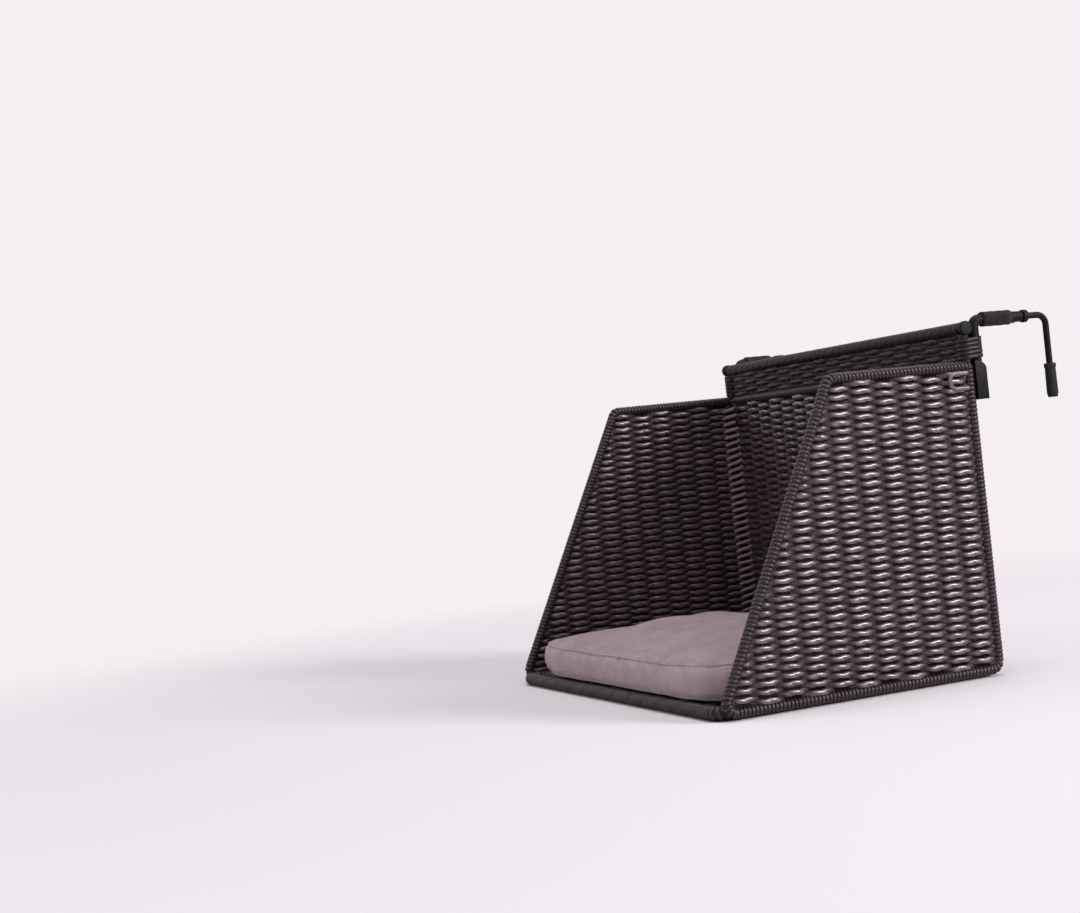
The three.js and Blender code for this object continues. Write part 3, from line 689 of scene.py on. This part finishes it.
rim_corners = [(front_y + corner_reach, low_z), (front_y, low_z), (side_top_y, high_z)]
rim_corners += [(back_y + rod_radius, high_z)]
edge_corners = [(front_y + corner_reach - rod_radius, low_z), (back_y, low_z), (back_y, high_z + rod_radius)]
for number, (hand, side) in enumerate(hands.items()):
    rim_path = rounded([(side * outer_x, y, z) for y, z in rim_corners], rod_bend)
    rim_turns = [wound(rim_path, (1, 0, 0), single, 44 + number)]
    rim_turns.append(shade_core(rim_path, (1, 0, 0), binding_radius - core_depth))
    nodes = (f"{hand}_front_rim_binding", f"{hand}_top_rim_binding")
    piece(f"{hand}_rim_winding", rim_turns, rim_cord, *nodes)
    edge_path = rounded([(side * pair_x, y, z) for y, z in edge_corners], rod_bend)
    edge_turns = [wound(edge_path, (1, 0, 0), upright_double, 46 + number, steps=20)]
    nodes = (f"base_{hand}_binding", f"back_{hand}_binding")
    piece(f"{hand}_corner_winding", edge_turns, rim_cord, *nodes)


# Corner lacing: short stitches of thicker cord cross each rear inner corner, from the side panel into the
# back panel, and a ring of the same cord lashes the upper rear corner of each side panel from outside.
# The lacing cord shares the woven cord's slot and is painted lighter: a painted highlight for the glints down
# the rear inner corners and on the ring.
lacing_cord = cord_finish("lacing_cord", (48, 33, 38), (142, 119, 125), 1.0, 0.5, "woven_cord")
lacing_radius = 0.0021
stitch_pitch = 0.0076
stitch_climb = 0.0016
stitch_span = 0.0105
stitch_sunk = 0.0025
stitch_shoulder = 0.0062
stitch_clear = 0.0005
stitch_bend = 0.0025
stitch_step = 0.0011
ring_reach = 0.024
ring_height = 0.015
ring_below_rim = 0.001
ring_pressed = 0.0008
ring_step = 0.0012
ring_end = 0.001
ring_proud = 0.86
stitch_slopes = np.random.default_rng(60)
side_face, wall_face = outer_x - binding_radius, back_y - binding_radius
stitch_run = [(side_face + stitch_sunk, wall_face - stitch_span)]
stitch_run += [(side_face - stitch_clear, wall_face - stitch_shoulder)]
stitch_run += [(side_face - stitch_shoulder, wall_face - stitch_clear)]
stitch_run += [(side_face - stitch_span, wall_face + stitch_sunk)]
stitches = np.arange(low_z + 2 * binding_radius, high_z - binding_radius, stitch_pitch)
ring_top = high_z - binding_radius - ring_below_rim
ring_foot = high_z - binding_radius - ring_height
ring_bend = 0.45 * (ring_top - ring_foot)
ring_corners = [(back_y - rod_radius, ring_top), (back_y - ring_reach, ring_top)]
ring_corners += [(back_y - ring_reach, ring_foot), (back_y - rod_radius, ring_foot)]
for hand, side in hands.items():
    cords = []
    for height, slope in zip(stitches, stitch_slopes.uniform(0.7, 1.3, len(stitches))):
        climb = (np.arange(4) - 1.5) * stitch_climb * slope
        stitch = [(side * x, y, height + rise) for (x, y), rise in zip(stitch_run, climb)]
        stitch_path, _ = resampled(rounded(stitch, stitch_bend), stitch_step)
        level = unit(np.cross(stitch_path[-1] - stitch_path[0], (0, 0, 1)))
        cords.append(rod(stitch_path, lacing_radius, level, sides=8))
    ring_x = side * (outer_x + binding_radius - ring_pressed)
    ring_path = rounded([(ring_x, y, z) for y, z in ring_corners], ring_bend)
    ring = rod(resampled(ring_path, ring_step)[0], lacing_radius, (1, 0, 0), sides=10, end_round=ring_end)
    # The ring takes a little less of the painted highlight than a crest of the weave.
    cords.append(evenly_shaded(ring, ring_proud))
    piece(f"{hand}_corner_lacing", cords, lacing_cord, f"back_{hand}_binding")


# Hanger: a steel rail wound with cord, with a moulded plastic cap on each end, and under it a narrow
# band of the same weave. The cord of both is painted darker and duller than the woven cord, as painted
# shade. The stakes of the back panel run up into the band, and a thick stake at each end
# of it is laced to the riser of the arm.
def turned(outline, start, direction, sides=32, flutes=0, flute_depth=0.0, hollow=False):
    """A turned piece: each point of the outline, a distance from the axis and a height along it, goes once
    round the axis. Flutes take flute_depth times half of 1 plus cos(flutes times the angle) off the
    distance. The outline of a hollow piece is a loop, and that of a solid one runs from end to end."""
    direction = np.array(direction, float)
    across = np.cross((0, 0, 1), direction) if abs(direction[2]) < 0.9 else np.array((1.0, 0, 0))
    angle = once_round(sides)
    spokes = np.cos(angle)[:, None] * across + np.sin(angle)[:, None] * np.cross(direction, across)
    distance = outline[:, :1] - flute_depth * (1 + np.cos(flutes * angle)) / 2 * (flutes > 0)
    rings = np.array(start) + outline[:, 1, None, None] * direction + distance[:, :, None] * spokes
    return skin(rings.swapaxes(0, 1) if hollow else rings, hollow)


plastic = Finish("moulded_plastic", {"Specular IOR Level": 0.15})
grain = plastic.noise(1400, 2, 0.5)
rubbed = plastic.noise(120, 4, 0.6).between(0.55, 0.8)
plastic.feed(
    base_color=plastic.mix(rubbed, srgb(14, 10, 11), srgb(30, 23, 25)),
    roughness=0.42 + grain * 0.12 + rubbed * 0.12,
    normal=plastic.bump(grain, 0.0001, 0.5),
)
# The band's and the rail's cord is the woven cord painted darker and duller: painted shade.
strip_cord = cord_finish("strip_cord", (22, 11, 15), (42, 28, 33), 0.1, 0.2)

axis_reach = 0.0003
rail_box = Box("hanger_rail")
rail_y, rail_z = rail_box.middle[1:]
rail_radius = rail_box.half[2]
rail_cord = 0.0017
rail_turn_width = 0.0042
rail_step = 0.01
rail_line, _ = resampled([(rail_box.low[0], rail_y, rail_z), (rail_box.high[0], rail_y, rail_z)], rail_step)
rail = [rod(rail_line, rail_radius - rail_cord, (0, 0, 1), sides=24)]
piece("hanger_rail_tube", rail, powder, "hanger_rail")
rail_loop = round_loop(rail_radius - rail_cord / 2)
rail_turns = [wound(rail_line, (0, 0, 1), rail_loop, 50, rail_turn_width, rail_cord)]
piece("hanger_rail_winding", rail_turns, strip_cord, "hanger_rail")

cap_head = 0.006
cap_plug = 0.012
cap_bore_radius = 0.0045
cap_edge = 0.0013
cap_step = 0.0003
for hand, side in hands.items():
    cap_box = Box(f"rail_cap_{hand}")
    cap_radius = cap_box.half[2]
    cap_outline = [(axis_reach, -cap_plug), (cap_bore_radius, -cap_plug), (cap_bore_radius, 0)]
    cap_outline += [(cap_radius, 0), (cap_radius, cap_head), (axis_reach, cap_head)]
    cap_end = (cap_box.high if side > 0 else cap_box.low)[0]
    cap_seat = (cap_end - side * cap_head, rail_y, rail_z)
    cap = [turned(rounded(cap_outline, cap_edge, step=cap_step), cap_seat, (side, 0, 0))]
    piece(f"{hand}_rail_cap", cap, plastic, f"rail_cap_{hand}")

band = Box("hanger_strip_weave")
band_swing = band.half[1] - cord_reach
post_overlap = 0.0005
band_inset = 2 * band.half[1] - post_overlap
rows = woven(51, wall_axes, band.low[2], band.high[2], rail_y, straight(band.low[0] + band_inset),
             straight(band.high[0] - band_inset), row_pitch, band_swing, wall_stakes)
piece("strip_weft", rows, strip_cord, "hanger_strip_weave")
stakes = staked(wall_axes, rail_y, wall_stakes, straight(band.low[2]), straight(band.high[2]))
arm_radius = 0.005
arm_x, _, arm_z = Box("right_arm_sleeve").middle
tie_thick = 0.0018
post_radius = 0.0048
post_step = 0.002
end_gap = Box("right_arm_tube").low[1] + arm_radius - rail_y
tie_loop = pair_loop(arm_radius + tie_thick / 2, end_gap)
for number, side in enumerate(hands.values()):
    line = np.array([(side * arm_x, rail_y, high_z + binding_radius), (side * arm_x, rail_y, band.high[2])])
    post = resampled(line + [(0, 0, -binding_radius / 2), (0, 0, rail_cord / 2)], post_step)[0]
    stakes.append(rod(post, post_radius, (0, 1, 0), sides=20))
    line[:, 1] += end_gap / 2
    stakes.append(wound(line, (1, 0, 0), tie_loop, 52 + number, turn_width, tie_thick, 22))
piece("strip_stakes", stakes, strip_cord, "hanger_strip_weave")


# Corner brackets: 1.6 mm steel sheet bent round the riser of each arm like a clip, behind the corners of
# the basket, with its upper rear corner rounded off, powder coated black. Two domed rivets hold each to
# the back panel.
sheet_thick = 0.0016
sheet_bend = 0.002
sheet_edge = 0.0004
sheet_step = 0.0004
sheet_arc_step = 0.0003
edge_step = 0.0002


def bent_sheet(path, thick, low, tops):
    """A strip of sheet bent along a level path: its section, a rectangle this thick from low to the top
    given for each point, with rounded edges, is carried along the path."""
    _, across, _ = frames_along(path, (0, 0, 1))
    half, high = thick / 2, tops.max()
    section = rounded(oblong(-half, half, low, high), sheet_edge, True, edge_step)
    rings = path[:, None] + section[None, :, :1] * across[:, None]
    rings[:, :, 2] = low + (section[None, :, 1] - low) * (tops[:, None] - low) / (high - low)
    return skin(rings)


rivet_steel = Finish("rivet_steel", {"Metallic": 0.6, "Specular IOR Level": 0.5})
worn = rivet_steel.noise(300, 4, 0.6).between(0.5, 0.75)
rivet_steel.feed(
    base_color=rivet_steel.mix(worn, srgb(34, 31, 32), srgb(74, 70, 72)),
    roughness=0.3 + worn * 0.2,
    normal=rivet_steel.bump(worn, 0.0001, 0.4),
)
flange_length = 0.020
clip_round = 0.0105
clearance = 0.0003
head_height = 0.0018
shank_radius = 0.002
dome = np.linspace(0.06, np.pi / 2, 9)
for hand, side in hands.items():
    name = f"{hand}_corner_bracket"
    clip_box = Box(name)
    leg_x = max(abs(clip_box.low[0]), abs(clip_box.high[0])) - sheet_thick / 2
    step_x = arm_x - arm_radius - clearance - sheet_thick / 2
    flange_y, rear_y = clip_box.low[1] + sheet_thick / 2, clip_box.high[1] - sheet_thick / 2
    corners = [(leg_x, clip_box.low[1]), (leg_x, rear_y), (step_x, rear_y), (step_x, flange_y)]
    corners += [(step_x - flange_length, flange_y)]
    clip_bends = rounded([(side * x, y, 0) for x, y in corners], sheet_bend, step=sheet_arc_step)
    clip_path, _ = resampled(clip_bends, sheet_step)
    rearward = np.clip((clip_path[:, 1] - rear_y) / clip_round + 1, 0, 1)
    tops = clip_box.high[2] - clip_round * (1 - np.sqrt(1 - rearward**2))
    clip = [bent_sheet(clip_path, sheet_thick, clip_box.low[2], tops)]
    piece(f"{name}_sheet", clip, powder, name)
    for name in (f"{hand}_upper_rivet", f"{hand}_lower_rivet"):
        rivet_box = Box(name)
        length = rivet_box.high[1] - rivet_box.low[1]
        head = np.stack([rivet_box.half[2] * np.sin(dome), head_height * (1 - np.cos(dome))], 1)
        shank = [(shank_radius, head_height), (shank_radius, length - head_height)]
        outline = np.concatenate([head, shank, head[::-1] * (1, -1) + (0, length)])
        start = (rivet_box.middle[0], rivet_box.low[1], rivet_box.middle[2])
        piece(f"{name}_domed", [turned(outline, start, (0, 1, 0), 24)], rivet_steel, name)


# Arms: a steel tube climbs behind each corner of the back panel and bends level to the rear, inside a foam
# sleeve that spares what it rests on. A plastic bush ends it, and a thumb screw sits in a welded boss.
foam = Finish("foam_sleeve", {"Specular IOR Level": 0.3})
cells = foam.cells(1300.0)
pressed = foam.noise(55, 4, 0.6)
foam.feed(
    base_color=foam.mix(pressed.between(0.4, 0.75), srgb(25, 23, 26), srgb(47, 43, 46)),
    roughness=0.82 + cells * 0.2,
    normal=foam.bump(cells * 0.6 + pressed * 1.4, 0.0005, 0.7),
)
arm_bend = 0.007
arm_edge = 0.0007
arm_step = 0.0011
arm_arc_step = 0.0005
boss_radius = 0.0045
boss_reach = 0.0075
boss_start = 0.003
weld_height = 0.0014
weld_width = 0.0011
weld_slope = 0.0008
weld_edge = 0.0006
dent_depth = 0.00012
dent_wave, dimple_wave, dimple_share = 620, 1500, 0.4
foam_edge = 0.0016
foam_gap = 0.0001
foam_step = 0.0006
bush_bore = 0.0034
bush_edge = 0.0008
bore_depth = 0.054
knob_length = 0.006
knob_chamfer = 0.0008
knob_edge = 0.0004
flute_depth = 0.0006
screw_shank = 0.002
screw_overlap = 0.001
weld_top = boss_start + weld_height
boss_outline = [(axis_reach, boss_start), (boss_radius + weld_width, boss_start)]
boss_outline += [(boss_radius + weld_width, weld_top), (boss_radius, weld_top + weld_slope)]
boss_outline += [(boss_radius, boss_reach), (axis_reach, boss_reach)]
for hand, side in hands.items():
    x = side * arm_x
    tube_box, knob_box = Box(f"{hand}_arm_tube"), Box(f"{hand}_lock_screw")
    riser_y = tube_box.low[1] + arm_radius
    knob_y = knob_box.middle[1]
    corners = [(x, riser_y, tube_box.low[2]), (x, riser_y, arm_z), (x, tube_box.high[1], arm_z)]
    tube_path, _ = resampled(rounded(corners, arm_bend, step=arm_arc_step), arm_step)
    tube = rod(tube_path, arm_radius, (1, 0, 0), False, 32, arm_edge, bush_bore, bore_depth)
    boss = turned(rounded(boss_outline, weld_edge, step=edge_step), (x, knob_y, arm_z), (-side, 0, 0))
    piece(f"{hand}_arm_rod", [tube, boss], powder, f"{hand}_arm_tube")

    foam_box = Box(f"{hand}_arm_sleeve")
    foam_path, along = resampled([(x, foam_box.low[1], arm_z), (x, foam_box.high[1], arm_z)], foam_step)
    angle = once_round(40)
    dents = np.sin(along * dent_wave + side)[:, None] * np.sin(2 * angle + 1)
    dents = dents + np.sin(along * dimple_wave)[:, None] * np.sin(5 * angle) * dimple_share
    foam_skin = foam_box.half[2] - dent_depth + dent_depth * dents
    sleeve = [rod(foam_path, foam_skin, (1, 0, 0), False, 40, foam_edge, arm_radius + foam_gap)]
    piece(f"{hand}_foam_sleeve", sleeve, foam, f"{hand}_arm_sleeve")

    bush_box = Box(f"{hand}_arm_bush")
    bush_radius, bush_length = bush_box.half[2], bush_box.high[1] - bush_box.low[1]
    bush_loop = rounded(oblong(bush_bore, bush_radius, 0, bush_length), bush_edge, True, edge_step)
    bush = [turned(bush_loop, (x, bush_box.low[1], arm_z), (0, 1, 0), 40, hollow=True)]
    piece(f"{hand}_guide_bush", bush, plastic, f"{hand}_arm_bush")

    knob_radius = knob_box.half[2]
    knob_start = knob_box.high[0] - knob_box.low[0] - knob_length
    knob_end = knob_start + knob_length
    tip = ((knob_box.high if side > 0 else knob_box.low)[0], knob_y, arm_z)
    shank_outline = np.array([(screw_shank, 0), (screw_shank, knob_start + screw_overlap)])
    knob_outline = [(axis_reach, knob_start), (knob_radius - knob_chamfer, knob_start)]
    knob_outline += [(knob_radius, knob_start + knob_chamfer), (knob_radius, knob_end - knob_chamfer)]
    knob_outline += [(knob_radius - knob_chamfer, knob_end), (axis_reach, knob_end)]
    knob = turned(rounded(knob_outline, knob_edge, step=edge_step), tip, (-side, 0, 0), 72, 12, flute_depth)
    screw = [knob, turned(shank_outline, tip, (-side, 0, 0), 20)]
    piece(f"{hand}_thumb_screw", screw, plastic, f"{hand}_lock_screw", body=f"{hand}_lock")


# Hooks: a powder coated steel rod slides in each arm, turns down at the rear and ends in a rubber tip that
# is pushed on.
rubber = Finish("rubber_tip", {"Specular IOR Level": 0.35})
dust = rubber.noise(90, 5, 0.65)
skin_grain = rubber.noise(1800, 2, 0.5)
rubber.feed(
    base_color=rubber.mix(dust.between(0.45, 0.8), srgb(22, 21, 22), srgb(50, 47, 49)),
    roughness=0.72 + skin_grain * 0.15,
    normal=rubber.bump(skin_grain + dust, 0.00015, 0.6),
)
hook_bend = 0.009
hook_edge = 0.0006
hook_step = 0.0014
hook_arc_step = 0.0006
foot_chamfer = 0.0012
foot_height = 0.004
collar_height = 0.005
collar_groove = 0.0009
collar_slope = 0.001
collar_round = 0.0008
tip_draft = 0.0005
tip_shoulder = 0.0002
tip_edge = 0.0008
socket_radius = rod_radius + 0.0001
socket_depth = 0.002
for hand, side in hands.items():
    hook_box, tip_box = Box(f"{hand}_hook_rod"), Box(f"{hand}_hook_tip")
    x = side * arm_x
    drop_y = hook_box.high[1] - rod_radius
    corners = [(x, hook_box.low[1], arm_z), (x, drop_y, arm_z), (x, drop_y, hook_box.low[2])]
    hook_path, _ = resampled(rounded(corners, hook_bend, step=hook_arc_step), hook_step)
    hook = [rod(hook_path, rod_radius, (1, 0, 0), sides=24, end_round=hook_edge)]
    piece(f"{hand}_hook_steel", hook, powder, f"{hand}_hook_rod", body=f"{hand}_hook")
    tip_radius, tip_length = tip_box.half[0], tip_box.high[2] - tip_box.low[2]
    collar = tip_length - collar_height
    tip_outline = [(axis_reach, 0), (tip_radius - foot_chamfer, 0), (tip_radius - tip_shoulder, foot_height)]
    tip_outline += [(tip_radius - tip_draft, collar - collar_slope), (tip_radius - collar_groove, collar)]
    tip_outline += [(tip_radius, collar + collar_round), (tip_radius, tip_length)]
    tip_outline += [(socket_radius, tip_length), (socket_radius, tip_length - socket_depth)]
    tip_loop = rounded(tip_outline, tip_edge, step=edge_step)
    tip = [turned(tip_loop, (x, drop_y, tip_box.low[2]), (0, 0, 1), 36)]
    piece(f"{hand}_rubber_tip", tip, rubber, f"{hand}_hook_tip", body=f"{hand}_hook")


# Cushion: a boxed cover of short warm grey plush, filled with loose fibre, with a welt sewn into the seams
# round its top and its bottom. It lies loose on the base, a little over the front rim, and lifts out.
pad = Box("cushion")
pad_forward = 0.005
pad_middle = pad.middle - (0, pad_forward, 0)
pad_side = 0.034
pad_crown = pad.high[2] - pad.low[2] - pad_side
pad_squareness = 6
pad_ratio = 0.66
pad_pull = 0.004
pad_slack = 0.002
pad_bulge = 0.006
pad_flat = pad.half[:2] - pad_slack
low_seam = 0.003
seam_heights = (pad.low[2] + low_seam, pad.low[2] + pad_side)
seam_width = 0.0035
seam_from = 0.965
voxel = 0.005
pressure = 4.0
settle_frames = 20
furthest_move = 0.012
lump_sizes = {0.17: 0.0030, 0.09: 0.0022, 0.045: 0.0009}
lump_headings = 4
crease_turns = (17, 29, 43, 61)
groove_width = 0.0022
groove_depth = 0.0022
pucker_depth = 0.0030
welt_radius = 0.0013
welt_step = 0.0035
welt_reach = 0.005
welt_juts = 0.0007
welt_angle = 0.03
side_from = (0.9, 0.98)
top_blend = 0.006


def plan_edge(count):
    """Points round the edge of the plan, for half lengths of 1: x and y are cos and sin of the angle, with
    their sizes to the power 2 over squareness, a rounded rectangle."""
    angle = once_round(count)
    waves = np.stack([np.cos(angle), np.sin(angle)], 1)
    return np.sign(waves) * np.abs(waves) ** (2 / pad_squareness)


def boxed_pad():
    """The cover before it is filled. Round its plan, x and y are half lengths times the edge's own, drawn
    in between the corners by pull times 1 less the square of the other. Rings of it grow over the
    underside, climb the side, where they bulge by half a sine wave to the power 0.7, and shrink over the
    top, whose height falls from the crown with the ring's share to the power 2.4."""
    round_x, round_y = plan_edge(200).T
    growing = np.linspace(0.04, 1, 26)
    climb = np.linspace(0.06, 0.94, 8)
    share = np.concatenate([growing, np.ones(8), growing[::-1]])[:, None]
    top = pad_side + (pad_crown - pad_slack) * (1 - growing[::-1] ** 2.4)
    height = np.concatenate([np.zeros(26), climb * pad_side, top])[:, None]
    bulge = np.zeros_like(share)
    bulge[len(growing):-len(growing), 0] = pad_bulge * np.sin(np.pi * climb) ** 0.7
    x = (pad_flat[0] + bulge - pad_pull * (1 - round_y**2)) * round_x * share
    y = (pad_flat[1] + bulge - pad_pull * (1 - round_x**2)) * round_y * share
    return skin(np.stack([x + pad_middle[0], y + pad_middle[1], pad.low[2] + height + 0 * x], 2))


def plan_share(points):
    """How far points lie from the middle of the plan, as a share of the way to its edge."""
    x, y = (np.abs(points[:, :2] - pad_middle[:2]) / pad_flat).T
    return (x**pad_squareness + y**pad_squareness) ** (1 / pad_squareness)


def points_of(mesh):
    points = np.empty(len(mesh.vertices) * 3)
    mesh.vertices.foreach_get("co", points)
    return points.reshape(-1, 3)


def applied(made):
    """Puts the mesh that the modifiers give in place of the object's own, and drops the modifiers."""
    bpy.context.view_layer.update()
    finished = bpy.data.meshes.new_from_object(made.evaluated_get(bpy.context.evaluated_depsgraph_get()))
    made.modifiers.clear()
    made.data = finished


plush = Finish("plush_cover", {"Sheen Weight": 0.5, "Sheen Roughness": 0.45, "Specular IOR Level": 0.2})
pile = plush.cells(620.0)
strands = plush.noise(1500, 3, 0.6)
brushed = plush.noise(16, 4, 0.62)
streaks = plush.noise(70, 4, 0.6)
nap = brushed.between(0.25, 0.8) * 0.26 + streaks.between(0.3, 0.7) * 0.34 + pile * 0.3 + 0.12
plush.feed(
    base_color=plush.mix(nap * 0.8 + strands * 0.3 - 0.05, srgb(146, 125, 129), srgb(214, 189, 193)),
    roughness=0.86 + strands * 0.12,
    normal=plush.bump(pile * -0.8 + strands * 0.6 + streaks * 1.2, 0.0016, 0.8),
)

cushion = piece("plush_cushion", [boxed_pad()], plush, "cushion", body="cushion")
remesh = cushion.modifiers.new("voxels", "REMESH")
remesh.mode = "VOXEL"
remesh.voxel_size = voxel
applied(cushion)
start = points_of(cushion.data)
at_top_seam = np.abs(start[:, 2] - seam_heights[1]) < seam_width
at_low_seam = start[:, 2] < pad.low[2] + seam_width
sewn = (plan_share(start) > seam_from) & (at_top_seam | at_low_seam)
seams = cushion.vertex_groups.new(name="seams")
seams.add(np.flatnonzero(sewn).tolist(), 1.0, "REPLACE")
cloth = cushion.modifiers.new("filling", "CLOTH")
cloth.settings.use_pressure = True
cloth.settings.uniform_pressure_force = pressure
cloth.settings.effector_weights.gravity = 0
cloth.settings.vertex_group_mass = "seams"
for step in range(1, settle_frames + 1):
    scene.frame_set(step)
applied(cushion)
scene.frame_set(1)

points = points_of(cushion.data)
moved = points - start
distance = np.linalg.norm(moved, axis=1)[:, None]
points = start + moved * np.minimum(1, furthest_move / np.maximum(distance, 1e-9))
from_middle = points[:, :2] - pad_middle[:2]
angle = np.arctan2(from_middle[:, 1], from_middle[:, 0])
round_edge = np.arctan2(from_middle[:, 1], from_middle[:, 0] * pad_ratio)
at_side = np.clip((plan_share(points) - side_from[0]) / (side_from[1] - side_from[0]), 0, 1)
random = np.random.default_rng(61)
lumps = np.zeros(len(points))
for wave, size in lump_sizes.items():
    for _ in range(lump_headings):
        heading = random.uniform(0, np.pi)
        along = points[:, 0] * np.cos(heading) + points[:, 1] * np.sin(heading)
        lumps += size * np.sin(2 * np.pi * along / wave + random.uniform(0, 2 * np.pi)) / 2
points[:, 2] += lumps * np.clip((points[:, 2] - seam_heights[1]) / top_blend, 0, 1)
creases = np.zeros(len(points))
for turns in crease_turns:
    creases += np.sin(turns * round_edge + random.uniform(0, 2 * np.pi)) / len(crease_turns)
from_seam = np.min([np.abs(points[:, 2] - height) for height in seam_heights], 0)
groove = groove_depth * np.exp(-((from_seam / groove_width) ** 2)) * (1 + 0.5 * creases)
drawn_in = (groove + pucker_depth * np.clip(creases, 0, 1) ** 2) * at_side
points[:, :2] -= drawn_in[:, None] * np.stack([np.cos(angle), np.sin(angle)], 1)
points[:, 2] = np.maximum(points[:, 2], pad.low[2])
cushion.data.vertices.foreach_set("co", points.ravel())
cushion.data.shade_smooth()
if not cushion.data.materials:
    cushion.data.materials.append(plush.material)
soften = cushion.modifiers.new("soften", "SUBSURF")
soften.levels = 1
soften.render_levels = 1


def welt(height, rise):
    """The roll of cloth along one seam. It follows the edge of the plan, at the share and the height of the
    cover's own edge, which is its points that lie furthest out and furthest up or down. A point's weight
    grows with how far it juts out, and falls with the square of its angle from the place."""
    near = points[np.abs(points[:, 2] - height) < welt_reach]
    near_share = plan_share(near)
    edge = plan_edge(400)
    offset = (near[:, :2] - pad_middle[:2]) / pad_flat
    apart = np.arctan2(edge[:, 1], edge[:, 0])[:, None] - np.arctan2(offset[:, 1], offset[:, 0])
    apart = (apart + np.pi) % (2 * np.pi) - np.pi
    jut = near_share * pad.half[1] + rise * (near[:, 2] - height)
    weight = np.exp((jut - jut.max()) / welt_juts - (apart / welt_angle) ** 2)
    weight /= weight.sum(1)[:, None]
    plan = pad_middle[:2] + edge * pad_flat * (weight @ near_share)[:, None]
    path = np.concatenate([plan, (weight @ near[:, 2])[:, None]], 1)
    return rod(resampled(path, welt_step, True)[0], welt_radius, (0, 0, 1), True, sides=8)


welts = [welt(height, rise) for height, rise in zip(seam_heights, (-1, 1))]
piece("cushion_welts", welts, plush, "cushion", body="cushion")
